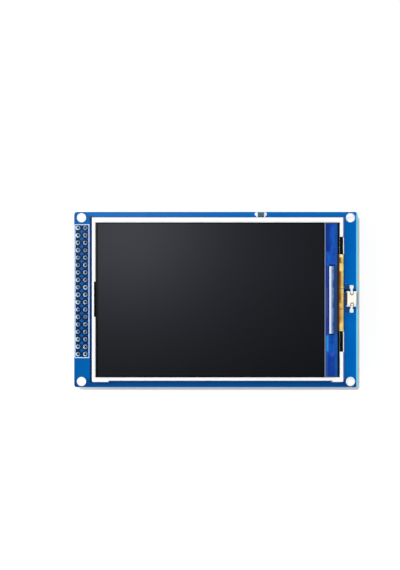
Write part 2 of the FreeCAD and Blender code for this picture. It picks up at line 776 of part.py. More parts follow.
def switch_dome():
    """Thin spring-steel dome that clicks down under the stem and closes the contact."""
    radius = (DOME_DIAMETER ** 2 / 4 + DOME_HEIGHT ** 2) / (2 * DOME_HEIGHT)
    centre = Vector(SWITCH_X, SWITCH_Y, BASE_TOP + DOME_HEIGHT - radius)
    ball = Part.makeSphere(radius, centre).cut(Part.makeSphere(radius - DOME_THICKNESS, centre))
    return ball.common(disc(SWITCH_X, SWITCH_Y, BASE_TOP, BASE_TOP + DOME_HEIGHT, DOME_DIAMETER))


def switch_plunger():
    """Ivory key: a cap with a round bite for each post, and a flanged stem down to the dome."""
    plan = around_switch(CAP_WIDTH, CAP_LENGTH)
    cap = rounded_slab(plan, CAP_UNDER, CAP_UNDER + CAP_HEIGHT, SWITCH_CORNER_RADIUS)
    crest = [edge for edge in cap.Edges if edge.BoundBox.ZMin > CAP_UNDER + CAP_HEIGHT / 2]
    cap = cap.makeChamfer(CAP_EDGE_BEVEL, crest)
    bite = POST_DIAMETER + 2 * POST_CLEARANCE
    for y in post_places():
        cap = cap.cut(disc(SWITCH_X, y, CAP_UNDER, CAP_UNDER + CAP_HEIGHT, bite))
    foot = FLANGE_TOP - STEM_FLANGE_HEIGHT
    cap = cap.fuse(disc(SWITCH_X, SWITCH_Y, foot, CAP_UNDER, STEM_DIAMETER))
    return cap.fuse(disc(SWITCH_X, SWITCH_Y, foot, FLANGE_TOP, STEM_FLANGE_DIAMETER))


def terminal(sense):
    """One of the switch's two terminals: a neck out of the cover's notch, bent down to a wider foot."""
    start = SWITCH_COVER_LENGTH / 2 - TERMINAL_NOTCH
    shoulder = SWITCH_COVER_LENGTH / 2 + TERMINAL_SHOULDER
    foot = FRONT + TERMINAL_THICKNESS / 2
    path = [(start, TERMINAL_HEIGHT), (shoulder, TERMINAL_HEIGHT), (shoulder, foot), (SWITCH_SPAN / 2, foot)]
    strip = bent_strip(
        path,
        TERMINAL_THICKNESS,
        TERMINAL_THICKNESS,
        lambda along, z: Vector(SWITCH_X - TERMINAL_WIDTH / 2, SWITCH_Y + sense * along, z),
        ACROSS_X * TERMINAL_WIDTH,
    )
    ankle = SWITCH_SPAN / 2 - TERMINAL_FOOT_LENGTH
    span = sorted((SWITCH_Y + sense * start, SWITCH_Y + sense * ankle))
    for side in (-1, 1):
        edge = SWITCH_X + side * TERMINAL_WIDTH / 2
        sides = sorted((edge, edge - side * TERMINAL_NECKING))
        strip = strip.cut(slab((*sides, *span), FRONT, TERMINAL_HEIGHT + TERMINAL_THICKNESS))
    return strip


def switch_terminals():
    """Both terminals of the reset switch."""
    return Part.makeCompound([terminal(-1), terminal(1)])


def switch_solder():
    """A wedge of solder at each terminal's toe."""
    wedges = []
    for sense in (-1, 1):
        toe = SWITCH_Y + sense * SWITCH_SPAN / 2
        left = SWITCH_X - TERMINAL_WIDTH / 2
        outline = [
            Vector(left, toe, FRONT),
            Vector(left, toe + sense * SOLDER_TOE, FRONT),
            Vector(left, toe, FRONT + TERMINAL_THICKNESS),
        ]
        wedges.append(prism(outline, ACROSS_X * TERMINAL_WIDTH))
    return Part.makeCompound(wedges)


def around_led(length, width):
    """A plan rectangle centred on the power lamp."""
    return around(RIGHT - LED_FROM_RIGHT, TOP - LED_FROM_TOP, length, width)


def power_led_base():
    """Flat resin base of the power lamp, between its two plated ends."""
    plan = around_led(LED_LENGTH - 2 * LED_END_LENGTH, LED_WIDTH)
    return slab(plan, FRONT, FRONT + LED_BASE_HEIGHT)


def power_led_lens():
    """Clear lens with sloping sides on the lamp's base."""
    low = FRONT + LED_BASE_HEIGHT
    return flared_slab(around_led(LED_LENS_LENGTH, LED_WIDTH), low, low + LED_LENS_HEIGHT, -LED_LENS_TAPER)


def power_led_ends():
    """Plated ends of the power lamp."""
    left, right, bottom, top = around_led(LED_LENGTH, LED_WIDTH)
    high = FRONT + LED_BASE_HEIGHT + LED_END_THICKNESS
    return Part.makeCompound([
        slab((left, left + LED_END_LENGTH, bottom, top), FRONT, high),
        slab((right - LED_END_LENGTH, right, bottom, top), FRONT, high),
    ])


def power_led_solder():
    """A wedge of solder at each end of the power lamp."""
    left, right, bottom, top = around_led(LED_LENGTH, LED_WIDTH)
    wedges = []
    for edge, sense in ((left, -1), (right, 1)):
        outline = [
            Vector(edge, bottom, FRONT),
            Vector(edge + sense * LED_SOLDER_LENGTH, bottom, FRONT),
            Vector(edge, bottom, FRONT + LED_BASE_HEIGHT),
        ]
        wedges.append(prism(outline, ACROSS_Y * (top - bottom)))
    return Part.makeCompound(wedges)


# Levels and places of the card socket, which hangs under the board
SOCKET_RIGHT = RIGHT - SOCKET_FROM_RIGHT
SOCKET_LEFT = SOCKET_RIGHT - SOCKET_DEPTH
CARD_HALF = CARD_WIDTH / 2 + CARD_SIDE_CLEARANCE
RAIL_HALF = CARD_HALF + SOCKET_RAIL
SHELL_HALF = RAIL_HALF + SHELL_SHEET
RAIL_LOW = -SOCKET_FLOOR - CARD_THICKNESS - CARD_TOP_CLEARANCE
SHELL_LOW = RAIL_LOW - SHELL_SHEET


def sd_contacts():
    """Nine spring fingers: a foot on the board, a run through the rear wall and a bump for the card."""
    half = CONTACT_SHEET / 2
    run = -SOCKET_FLOOR - half
    bump = SOCKET_LEFT + CONTACT_REACH
    path = [
        (SOCKET_LEFT - CONTACT_TAIL, -half),
        (SOCKET_LEFT - CONTACT_TAIL / 2, -half),
        (SOCKET_LEFT, run),
        (SOCKET_LEFT + SOCKET_REAR, run),
        (bump, run - CONTACT_RISE),
        (bump + CONTACT_TAIL, run - CONTACT_RISE / 2),
    ]
    fingers = []
    for up in spread(CONTACT_COUNT, CONTACT_PITCH):
        edge = up - CONTACT_WIDTH / 2
        fingers.append(bent_strip(
            path, CONTACT_SHEET, 0, lambda x, z: Vector(x, edge, z), ACROSS_Y * CONTACT_WIDTH
        ))
    return Part.makeCompound(fingers)


def sd_base():
    """Black moulding of the card socket: floor, two side rails and the rear wall that holds the contacts."""
    base = block((SOCKET_LEFT, -RAIL_HALF, RAIL_LOW), (SOCKET_RIGHT, RAIL_HALF, 0))
    low_edges = [edge for edge in base.Edges if edge.BoundBox.ZMax < RAIL_LOW / 2]
    folds = [edge for edge in low_edges if edge.BoundBox.YLength < SHELL_SHEET]
    base = base.makeFillet(SHELL_BEND_RADIUS - SHELL_SHEET / 2, folds)
    base = base.cut(block(
        (SOCKET_LEFT + SOCKET_REAR, -CARD_HALF, RAIL_LOW), (SOCKET_RIGHT, CARD_HALF, -SOCKET_FLOOR)
    ))
    return base.cut(sd_contacts()).Solids[0]


def shell_tabs():
    """Four feet that solder the shell to the board, bent out of its side walls."""
    half = SHELL_SHEET / 2
    wall = SHELL_HALF - half
    tabs = []
    for side in (-1, 1):
        for start in (SOCKET_LEFT + SHELL_TAB_INSET, SOCKET_RIGHT - SHELL_TAB_INSET - SHELL_TAB_LENGTH):
            path = [(wall, -SHELL_LIFT), (wall, -half), (wall + SHELL_TAB_REACH, -half)]
            tabs.append(bent_strip(
                path, SHELL_SHEET, 0, lambda y, z: Vector(start, side * y, z), ACROSS_X * SHELL_TAB_LENGTH
            ))
    return tabs


def sd_shell():
    """Folded steel cover of the card socket, with its thumb notch, two sprung lances and solder feet."""
    half = SHELL_SHEET / 2
    wall, roof = SHELL_HALF - half, SHELL_LOW + half
    path = [(-wall, -SHELL_LIFT), (-wall, roof), (wall, roof), (wall, -SHELL_LIFT)]
    shell = bent_strip(
        path,
        SHELL_SHEET,
        SHELL_BEND_RADIUS,
        lambda y, z: Vector(SOCKET_LEFT, y, z),
        ACROSS_X * SOCKET_DEPTH,
    )
    notch_half, notch_back = SHELL_MOUTH_WIDTH / 2, SOCKET_RIGHT - SHELL_MOUTH_DEPTH
    notch = [
        Vector(SOCKET_RIGHT, -notch_half, SHELL_LOW),
        Vector(SOCKET_RIGHT, notch_half, SHELL_LOW),
        Vector(notch_back, notch_half - SHELL_MOUTH_DEPTH, SHELL_LOW),
        Vector(notch_back, -notch_half + SHELL_MOUTH_DEPTH, SHELL_LOW),
    ]
    shell = shell.cut(prism(notch, UP * SHELL_SHEET))
    lance_start = SOCKET_LEFT + SOCKET_REAR + SHELL_LANCE_SLOT
    for side in (-1, 1):
        middle = side * (CARD_HALF - SHELL_LANCE_FROM_SIDE)
        outer = SHELL_LANCE_WIDTH / 2 + SHELL_LANCE_SLOT
        lance_end = lance_start + SHELL_LANCE_LENGTH
        slot = slab((lance_start, lance_end, middle - outer, middle + outer), SHELL_LOW, RAIL_LOW)
        inner = SHELL_LANCE_WIDTH / 2
        tongue_start = lance_start + SHELL_LANCE_SLOT
        tongue = slab((tongue_start, lance_end, middle - inner, middle + inner), SHELL_LOW, RAIL_LOW)
        shell = shell.cut(slot.cut(tongue))
    return shell.multiFuse(shell_tabs()).removeSplitter().Solids[0]


def moulded_body(plan, height):
    """A chip's moulded body under the board, drawn in a little towards its outer face."""
    return flared_slab(plan, -CHIP_STANDOFF, -CHIP_STANDOFF - height, -BODY_DRAFT)


def gull_lead(body_edge, toe, level, thickness, at, sweep):
    """A lead that slopes from a body's side at a level down to the board and ends in a flat foot."""
    foot = -thickness / 2
    path = [(body_edge, level), (toe - LEAD_FOOT, foot), (toe, foot)]
    return bent_strip(path, thickness, 0, at, sweep)


def bus_chip_places():
    """Plan places of the bus driver chips."""
    x = LEFT + BUS_CHIP_FROM_LEFT
    return [(x, TOP - BUS_CHIP_FROM_TOP - i * BUS_CHIP_SPACING) for i in range(BUS_CHIP_COUNT)]


def bus_chips():
    """Moulded bodies of the two bus driver chips, each with a round mark at its first lead."""
    bodies = []
    low = -CHIP_STANDOFF - BUS_CHIP_HEIGHT
    for x, y in bus_chip_places():
        body = moulded_body(around(x, y, BUS_CHIP_WIDTH, BUS_CHIP_LENGTH), BUS_CHIP_HEIGHT)
        mark_x, mark_y = x + BUS_CHIP_WIDTH / 2 - MARK_INSET, y + BUS_CHIP_LENGTH / 2 - MARK_INSET
        bodies.append(body.cut(disc(mark_x, mark_y, low, low + MARK_DEPTH, MARK_DIAMETER)))
    return Part.makeCompound(bodies)


def bus_chip_leads():
    """Rows of gull-wing leads on both long sides of each bus driver chip."""
    level = -CHIP_STANDOFF - BUS_CHIP_HEIGHT / 2
    edge = BUS_CHIP_WIDTH / 2 - BODY_DRAFT / 2
    leads = []
    for x, y in bus_chip_places():
        for up in spread(BUS_CHIP_LEAD_COUNT, BUS_CHIP_PITCH):
            for side in (-1, 1):
                leads.append(gull_lead(
                    edge,
                    BUS_CHIP_SPAN / 2,
                    level,
                    LEAD_THICKNESS,
                    lambda along, z: Vector(x + side * along, y + up - LEAD_WIDTH / 2, z),
                    ACROSS_Y * LEAD_WIDTH,
                ))
    return Part.makeCompound(leads).cut(bus_chips())


def regulator_place():
    """Plan place of the voltage regulator."""
    return (LEFT + REGULATOR_FROM_LEFT, TOP - REGULATOR_FROM_TOP)


def regulator_body():
    """Moulded body of the voltage regulator."""
    x, y = regulator_place()
    return moulded_body(around(x, y, REGULATOR_LENGTH, REGULATOR_WIDTH), REGULATOR_HEIGHT)


def regulator_leads():
    """Three leads on one side of the regulator and the wide tab on the other."""
    x, y = regulator_place()
    level = -CHIP_STANDOFF - REGULATOR_HEIGHT / 2
    edge = REGULATOR_WIDTH / 2 - BODY_DRAFT
    rows = [(1, 0.0, REGULATOR_TAB_WIDTH)]
    rows += [(-1, along, REGULATOR_LEAD_WIDTH) for along in spread(3, REGULATOR_LEAD_PITCH)]
    leads = []
    for side, along, width in rows:
        leads.append(gull_lead(
            edge,
            REGULATOR_SPAN / 2,
            level,
            REGULATOR_LEAD_THICKNESS,
            lambda out, z: Vector(x + along - width / 2, y + side * out, z),
            ACROSS_X * width,
        ))
    return Part.makeCompound(leads).cut(regulator_body())


def transistor_place():
    """Plan place of the backlight transistor."""
    return (LEFT + TRANSISTOR_FROM_LEFT, TOP - TRANSISTOR_FROM_TOP)


def transistor_body():
    """Moulded body of the backlight transistor."""
    x, y = transistor_place()
    return moulded_body(around(x, y, TRANSISTOR_LENGTH, TRANSISTOR_WIDTH), TRANSISTOR_HEIGHT)


def transistor_leads():
    """Two leads on one side of the transistor and one on the other."""
    x, y = transistor_place()
    level = -CHIP_STANDOFF - TRANSISTOR_HEIGHT / 2
    edge = TRANSISTOR_WIDTH / 2 - BODY_DRAFT
    rows = [(1, 0.0)] + [(-1, along) for along in spread(2, TRANSISTOR_LEAD_PITCH)]
    leads = []
    for side, along in rows:
        leads.append(gull_lead(
            edge,
            TRANSISTOR_SPAN / 2,
            level,
            LEAD_THICKNESS,
            lambda out, z: Vector(x + along - TRANSISTOR_LEAD_WIDTH / 2, y + side * out, z),
            ACROSS_X * TRANSISTOR_LEAD_WIDTH,
        ))
    return Part.makeCompound(leads).cut(transistor_body())


def capacitor_places():
    """Plan places of a column of capacitors beside the chips."""
    x, y = LEFT + CAPACITOR_FROM_LEFT, TOP - CAPACITOR_FROM_TOP
    return [(x, y - i * CAPACITOR_SPACING) for i in range(CAPACITOR_COUNT)]


def resistor_places():
    """Plan places of a column of resistors beside the card socket."""
    x, y = LEFT + RESISTOR_FROM_LEFT, TOP - RESISTOR_FROM_TOP
    return [(x, y - i * RESISTOR_SPACING) for i in range(RESISTOR_COUNT)]


def chip_bodies(places, length, width, height, end):
    """Middles of flat two-ended parts under the board."""
    return Part.makeCompound([
        slab(around(x, y, length - 2 * end, width), -height, 0) for x, y in places
    ])


def chip_ends(places, length, width, height, end):
    """Tinned ends of flat two-ended parts under the board."""
    caps = []
    for x, y in places:
        for side in (-1, 1):
            middle = x + side * (length - end) / 2
            caps.append(slab(around(middle, y, end, width), -height, 0))
    return Part.makeCompound(caps)


def capacitor_bodies():
    """Ceramic middles of the capacitors."""
    return chip_bodies(
        capacitor_places(), CAPACITOR_LENGTH, CAPACITOR_WIDTH, CAPACITOR_HEIGHT, CAPACITOR_END
    )


def capacitor_ends():
    """Tinned ends of the capacitors."""
    return chip_ends(capacitor_places(), CAPACITOR_LENGTH, CAPACITOR_WIDTH, CAPACITOR_HEIGHT, CAPACITOR_END)


def resistor_bodies():
    """Ceramic middles of the resistors."""
    return chip_bodies(resistor_places(), RESISTOR_LENGTH, RESISTOR_WIDTH, RESISTOR_HEIGHT, RESISTOR_END)


def resistor_ends():
    """Tinned ends of the resistors."""
    return chip_ends(resistor_places(), RESISTOR_LENGTH, RESISTOR_WIDTH, RESISTOR_HEIGHT, RESISTOR_END)


PIECES = (
    circuit_board,
    hole_pads,
    header_body,
    header_pins,
    header_solder,
    foam_strips,
    reflector_sheet,
    backlight_frame,
    light_guide,
    diffuser_sheet,
    lower_prism_sheet,
    upper_prism_sheet,
    lamp_strip,
    backlight_lamps,
    rim_tape,
    rear_polariser,
    display_glass,
    filter_glass,
    front_polariser,
    driver_chip,
    ledge_coating,
    flex_tail,
    flex_solder,
    edge_seals,
    side_pad,
    switch_base,
    switch_cover,
    switch_dome,
    switch_plunger,
    switch_terminals,
    switch_solder,
    power_led_base,
    power_led_lens,
    power_led_ends,
    power_led_solder,
    sd_base,
    sd_shell,
    sd_contacts,
    bus_chips,
    bus_chip_leads,
    regulator_body,
    regulator_leads,
    transistor_body,
    transistor_leads,
    capacitor_bodies,
    capacitor_ends,
    resistor_bodies,
    resistor_ends,
)

os.makedirs("parts", exist_ok=True)
for piece in PIECES:
    shape = piece()
    shape.exportStep(os.path.join("parts", piece.__name__ + ".step"))
    print(piece.__name__, len(shape.Solids), "solids", round(shape.Volume, 3), "mm3", shape.isValid())
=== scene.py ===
import math

import bmesh
import bpy
import numpy as np
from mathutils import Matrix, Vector


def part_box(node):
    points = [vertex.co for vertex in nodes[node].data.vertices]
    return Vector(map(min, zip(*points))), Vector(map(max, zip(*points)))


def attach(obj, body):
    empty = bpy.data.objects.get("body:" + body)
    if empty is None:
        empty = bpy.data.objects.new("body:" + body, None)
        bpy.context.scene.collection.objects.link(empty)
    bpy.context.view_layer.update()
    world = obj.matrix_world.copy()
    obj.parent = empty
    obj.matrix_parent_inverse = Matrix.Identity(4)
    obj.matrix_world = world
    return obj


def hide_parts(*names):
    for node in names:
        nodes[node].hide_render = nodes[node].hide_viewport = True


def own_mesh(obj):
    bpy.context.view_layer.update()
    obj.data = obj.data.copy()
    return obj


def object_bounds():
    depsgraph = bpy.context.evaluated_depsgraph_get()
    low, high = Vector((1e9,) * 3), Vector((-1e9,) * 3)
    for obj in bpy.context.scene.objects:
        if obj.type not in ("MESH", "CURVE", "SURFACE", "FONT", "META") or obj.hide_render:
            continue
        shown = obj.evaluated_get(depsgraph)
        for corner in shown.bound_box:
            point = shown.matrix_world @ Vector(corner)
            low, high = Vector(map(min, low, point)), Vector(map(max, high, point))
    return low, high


# Looks of a colour display module on a pin-header board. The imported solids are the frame; this script
# gives them their finishes and adds solder, copper tracks, print and the rippled flexible tail.
# Shapes are worked out in millimetres and put into meshes in metres.

MM = 0.001

# Camera: straight above, at the photograph's scale and framing
PIXELS = (400, 570)
PIXELS_PER_MM = 2.924
BOARD_CENTRE_PIXEL = (215.98, 299.6)
CAMERA_DISTANCE = 800.0
SENSOR = 36.0

# One layer of glass cloth in the board's laminate
LAMINATE_LAYER = 0.2

# Pin header and its solder joints; a joint's sizes vary between two values
PIN_PITCH = 2.54
PIN_ROWS = 18
PIN_WIDTH = 0.64
PIN_COLUMNS = 2
JOINT_FOOT = (0.76, 0.84)
JOINT_NECK = (0.4, 0.47)
JOINT_HEIGHT = (0.36, 0.46)
JOINT_SHIFT = 0.04
JOINT_RIM = 0.03

# Painted shade round a pin: full up to the first of these distances and gone at the second
PIN_SHADE_RADII = (1.2, 1.45)

# White frame: its feet, and the width of the rim painted in the board's blue and painted shade on each side
FOOT_DROP = 0.4
LEFT_FOOT = 6.0
RIGHT_FOOT = 4.2
LEFT_RIM = 0.22
RIGHT_RIM = 0.42
LOWER_RIM = 0.25
RIM = 0.2

# Ledge of the display glass: the filter glass's ground edge and the gel against it
GROUND_EDGE = 0.43
GEL_EDGE = 0.2

# Corner holes
HOLE_DIAMETER = 2.6
RING_DIAMETER = 3.14
RING_CHAMFER = 0.03

# Power lamp's solder fillets: half axes, how far in from the solder's ends they sit, and how far up
FILLET_WIDTH = 0.44
FILLET_DEPTH = 0.62
FILLET_HEIGHT = 0.42
FILLET_INSET = 0.42
FILLET_SHIFT = 0.12

# Reset switch: its cover's posts, whose white middle ends between two radii, and the snap dome
POST_REACH = 1.88
POST_HEIGHT = 0.5
POST_MIDDLE = (0.33, 0.38)
DOME_SHEET = 0.06

# Copper and print on the board
TRACK_WIDTH = 0.3
TRACK_HEIGHT = 0.035
PAD_HEIGHT = 0.03
PRINT_WIDTH = 0.27
PRINT_HEIGHT = 0.02
VIA_DIAMETER = 0.42
VIA_HOLE = 0.18
VIA_RISE = 0.005
SWITCH_VIAS = ((44.5, 5.6), (44.05, 4.3), (44.1, -4.1))

# Flexible tail; its tracks are drawn coarser than the real 0.2 mm so that they show
TAIL_SHEET = 0.12
TAIL_BOND = 1.0
TAIL_BEND = 0.8
TAIL_SAG = 1.3
TAIL_TRACK_PITCH = 0.7

# The tail's sag: the least of it, its waves as distance from the upper end, width and depth, and its
# creases as distances from the upper end
LEAST_SAG = 0.08
TAIL_WAVES = ((3.2, 0.9, 0.7), (11.2, 1.2, 0.35), (17.7, 1.2, 0.5), (25.0, 1.0, 0.9))
TAIL_CREASES = (11.7, 18.7)
CREASE_WIDTH = 0.1
CREASE_DEPTH = 0.25

# Parts on the back
CHIP_SPACING = 23.0
CHIP_LEADS = 24
CHIP_TRACKS = 8
LEAD_PITCH = 0.5
CONTACTS = 9
CONTACT_PITCH = 2.5
RESISTORS = 10
RESISTOR_PITCH = 2.0
CAPACITORS = 5
CAPACITOR_PITCH = 4.5

# Pads on the back: how far they reach beyond a part's end and within it, and half their width
CHIP_PAD = (0.25, 0.6, 0.15)
RESISTOR_PAD = (0.3, 0.5, 0.45)
CAPACITOR_PAD = (0.3, 0.5, 0.7)
CONTACT_PAD = (0.4, 1.0, 0.65)

# Tracks on the back: where they leave the header, how far on they turn, and how far from the leads and the
# resistors their vias are, every second one a step farther
HEADER_TRACK = 0.6
HEADER_TURN = 0.5
CONTACT_TURN = 3.0
CHIP_VIA = 1.4
RESISTOR_VIA = 1.6
VIA_STEP = 0.9

# Space between a part and its printed outline, along and across the board
CHIP_MARGIN = (0.7, 0.9)
PART_MARGIN = (0.8, 0.6)

# Floor: how far it reaches in metres, its glow to the eye in the open and under a corner hole, and the
# radii and the shift outwards of the patch of light under a hole
FLOOR_REACH = 3.0
OPEN_GLOW = 0.34
HOLE_GLOW = 0.75
LIGHT_PATCH = (1.5, 2.3)
PATCH_SHIFT = 0.35

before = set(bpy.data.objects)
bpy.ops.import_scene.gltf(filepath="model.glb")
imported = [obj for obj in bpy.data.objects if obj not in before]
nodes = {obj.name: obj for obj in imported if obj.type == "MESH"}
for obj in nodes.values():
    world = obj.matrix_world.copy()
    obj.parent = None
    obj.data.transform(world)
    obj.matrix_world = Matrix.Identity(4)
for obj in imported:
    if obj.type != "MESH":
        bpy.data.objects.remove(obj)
cad_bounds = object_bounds()


def corners(node):
    """Lowest and highest corner of a CAD node at rest, in millimetres."""
    return [np.array(corner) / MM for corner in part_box(node)]


BOARD_LOW, BOARD_HIGH = corners("circuit_board")
FRAME_LOW, FRAME_HIGH = corners("backlight_frame")
PINS_LOW, PINS_HIGH = corners("header_pins")
FILTER_END = corners("filter_glass")[1][0]
GLASS_END, GLASS_TOP = corners("display_glass")[1][[0, 2]]
CHIP_LOW, CHIP_HIGH = corners("driver_chip")
TAIL_LOW, TAIL_HIGH = corners("flex_tail")
KEY_LOW, KEY_HIGH = corners("switch_plunger")
COVER_LOW, COVER_HIGH = corners("switch_cover")
FRONT, BACK = BOARD_HIGH[2], BOARD_LOW[2]
FIRST_PIN = PINS_LOW[:2] + PIN_WIDTH / 2

# The print round the header: left, right, bottom and top lines
HEADER_PRINT = (-48.2, -43.45, FIRST_PIN[1] - 1.19, FIRST_PIN[1] + (PIN_ROWS - 1) * PIN_PITCH + 1.09)
HEADER_X, HEADER_Y = HEADER_PRINT[:2], HEADER_PRINT[2:]

# Spans for coats: an axis that isn't limited, the board's front side and its upper half
WHOLE = (None, None)
FRONT_SIDE = (FRONT - 0.3, None)
UPPER_HALF = (FRONT - 0.8, None)


def linear(colour):
    """An sRGB hex colour as linear RGBA."""
    parts = np.array([int(colour[i:i + 2], 16) for i in (1, 3, 5)]) / 255
    lit = np.where(parts <= 0.04045, parts / 12.92, ((parts + 0.055) / 1.055) ** 2.4)
    return (*lit.tolist(), 1.0)


def add(tree, kind, inputs, out=0, **settings):
    """Adds a shader node, sets it up, links the sockets among its inputs and returns one of its outputs."""
    made = tree.nodes.new("ShaderNode" + kind)
    for name, value in settings.items():
        setattr(made, name, value)
    for socket, value in inputs.items():
        if isinstance(value, bpy.types.NodeSocket):
            tree.links.new(value, made.inputs[socket])
        else:
            made.inputs[socket].default_value = value
    return made.outputs[out]


def new_finish(name, colour, roughness, **sockets):
    """A material of one Principled shader, with its uniform values on the shader's own sockets."""
    material = bpy.data.materials.new(name)
    material.use_nodes = True
    shader = material.node_tree.nodes["Principled BSDF"]
    shader.inputs["Base Color"].default_value = linear(colour)
    shader.inputs["Roughness"].default_value = roughness
    for socket, value in sockets.items():
        shader.inputs[socket.replace("_", " ")].default_value = value
    return material, material.node_tree, shader


def place(tree):
    """The place on the object as x, y and z in metres."""
    return add(tree, "SeparateXYZ", {0: add(tree, "TexCoord", {}, out="Object")}).node.outputs


def blotches(tree, size, detail=2.0, stretch=(1, 1, 1), most=1.0):
    """Soft blotches from 0 to most, about that many millimetres across. An axis stretched below 1 draws
    them out along it."""
    spot = add(tree, "Mapping", {0: add(tree, "TexCoord", {}, out="Object"), "Scale": stretch})
    noise = add(tree, "TexNoise", {"Vector": spot, "Scale": 1 / (size * MM), "Detail": detail})
    return add(tree, "MapRange", {"Value": noise, "From Min": 0.33, "From Max": 0.67, "To Max": most})


def zone(tree, soft, most=1.0, **spans):
    """A box given by spans along x, y and z in millimetres: most inside it, 0 outside, soft between."""
    inside = most
    axes = dict(zip("xyz", place(tree)))
    for axis, edges in spans.items():
        for edge, sense in zip(edges, (1, -1)):
            if edge is None:
                continue
            reach = sense * soft / 2
            limits = {"From Min": (edge - reach) * MM, "From Max": (edge + reach) * MM}
            share = add(tree, "MapRange", {"Value": axes[axis], **limits})
            inside = add(tree, "Math", {0: inside, 1: share}, operation="MULTIPLY")
    return inside


def patches(tree, rows, **others):
    """Coats from rows of soft edge, share, span along x, span along y and colour; others limit them all."""
    return [(zone(tree, soft, most, x=x, y=y, **others), colour) for soft, most, x, y, colour in rows]


def painted(tree, shader, base, *coats):
    """Colours a shader with a base colour and coats over it, each a share from 0 to 1 and a colour."""
    colour = linear(base)
    for share, coat in coats:
        colour = add(tree, "Mix", {0: share, 6: colour, 7: linear(coat)}, out=2, data_type="RGBA")
    tree.links.new(colour, shader.inputs["Base Color"])


def rough(tree, shader, share, low, high):
    """Roughness that wanders between two values with a share from 0 to 1."""
    value = add(tree, "MapRange", {"Value": share, "To Min": low, "To Max": high})
    tree.links.new(value, shader.inputs["Roughness"])


def relief(tree, shader, height, depth):
    """Bump of that many millimetres from a 0 to 1 height."""
    bump = add(tree, "Bump", {"Height": height, "Distance": depth * MM, "Strength": 1.0})
    tree.links.new(bump, shader.inputs["Normal"])


def cut_edges(tree):
    """1 on upright faces, where the board was routed, and 0 on its two sides."""
    slope = add(tree, "SeparateXYZ", {0: add(tree, "NewGeometry", {}, out="True Normal")}).node.outputs[2]
    flat = add(tree, "Math", {0: slope}, operation="ABSOLUTE")
    return add(tree, "MapRange", {"Value": flat, "From Min": 0.6, "From Max": 0.5})


def pin_shade_rings(tree):
    """1 within about a millimetre of each header pin, where shade is painted round its joint, and 0 between
    them.

    The place is wrapped into one cell of the pin grid, and its distance to the cell's middle is taken."""
    offset = (-FIRST_PIN[0] * MM, -FIRST_PIN[1] * MM, 0)
    spot = add(tree, "VectorMath", {0: add(tree, "TexCoord", {}, out="Object"), 1: offset}, operation="ADD")
    half = PIN_PITCH / 2 * MM
    cell = add(tree, "VectorMath", {0: spot, 1: (half,) * 3, 2: (-half,) * 3}, operation="WRAP")
    flat = add(tree, "VectorMath", {0: cell, 1: (1, 1, 0)}, operation="MULTIPLY")
    away = add(tree, "VectorMath", {0: flat}, out="Value", operation="LENGTH")
    inner, outer = PIN_SHADE_RADII
    near = add(tree, "MapRange", {"Value": away, "From Min": outer * MM, "From Max": inner * MM})
    header = zone(tree, 0.2, x=HEADER_X, y=HEADER_Y)
    return add(tree, "Math", {0: near, 1: header}, operation="MULTIPLY")


def solder_mask():
    """Glossy blue solder mask over copper and woven laminate: deep blue, with painted light and shade on its
    margins and round the display unit, switch and pins, and the bare laminate's layers on the routed edges."""
    material, tree, shader = new_finish("mask_on_laminate", "#0062b6", 0.25, Specular_IOR_Level=0.13)
    cut = cut_edges(tree)
    wave = 2 * math.pi / (LAMINATE_LAYER * MM)
    height = add(tree, "Math", {0: place(tree)[2], 1: wave}, operation="MULTIPLY")
    layers = add(tree, "Math", {0: height}, operation="SINE")
    both = add(tree, "Math", {0: cut, 1: layers}, operation="MULTIPLY", use_clamp=True)
    round_frame_x = (FRAME_LOW[0] - 0.65, FRAME_HIGH[0] + 0.25)
    round_frame_y = (FRAME_LOW[1] - 0.05, FRAME_HIGH[1] + 0.2)
    margins = (
        # Painted shade along the lower margin and painted light along the upper one
        (1.4, 1.0, WHOLE, (None, FRAME_LOW[1] + 1.2), "#064484"),
        (0.8, 0.9, WHOLE, (FRAME_HIGH[1] + 0.8, None), "#0a63a6"),
    )
    front = (
        # Painted shade in a line round the display unit, where the frame's shadow falls
        (0.2, 0.9, round_frame_x, round_frame_y, "#03143c"),
        # Painted shade of the reset switch and its terminals
        (0.6, 0.75, (43.8, 45.6), (3.0, 5.2), "#1c4070"),
        (0.5, 0.5, (46.8, 47.9), (3.0, 4.8), "#1a4f80"),
        (0.5, 0.7, (46.8, 47.9), (-4.6, -2.5), "#0e3f78"),
        (0.4, 0.8, (44.2, 45.8), (-4.4, -2.4), "#1d3f6c"),
        (0.2, 0.95, (43.8, 48.4), (2.8, 3.5), "#020c1e"),
    )
    edges = (
        # Pale lines along the routed edges, widest at the right
        (0.12, 1.0, (BOARD_HIGH[0] - 0.55, None), WHOLE, "#68cdea"),
        (0.12, 0.25, WHOLE, (BOARD_HIGH[1] - 0.15, None), "#4fb0de"),
        (0.12, 0.5, WHOLE, (None, BOARD_LOW[1] + 0.15), "#5fa4cc"),
        (0.12, 0.8, (None, BOARD_LOW[0] + 0.2), HEADER_Y, "#a9bccb"),
    )
    painted(
        tree, shader, "#005fb3",
        (blotches(tree, 9.0, 1.0), "#0067bb"),
        (zone(tree, 2.0, 0.8, x=(None, FRAME_LOW[0])), "#005596"),
        *patches(tree, margins, z=UPPER_HALF),
        *patches(tree, front, z=FRONT_SIDE),
        (zone(tree, 0.2, 0.7, x=HEADER_X, y=HEADER_Y), "#0d5c9e"),
        # Painted shade round each pin's joint
        (pin_shade_rings(tree), "#051d4a"),
        *patches(tree, edges),
        (cut, "#8fa868"),
        (both, "#c3cf9a"),
    )
    rough(tree, shader, cut, 0.25, 0.6)
    relief(tree, shader, blotches(tree, 0.6), 0.004)
    return material


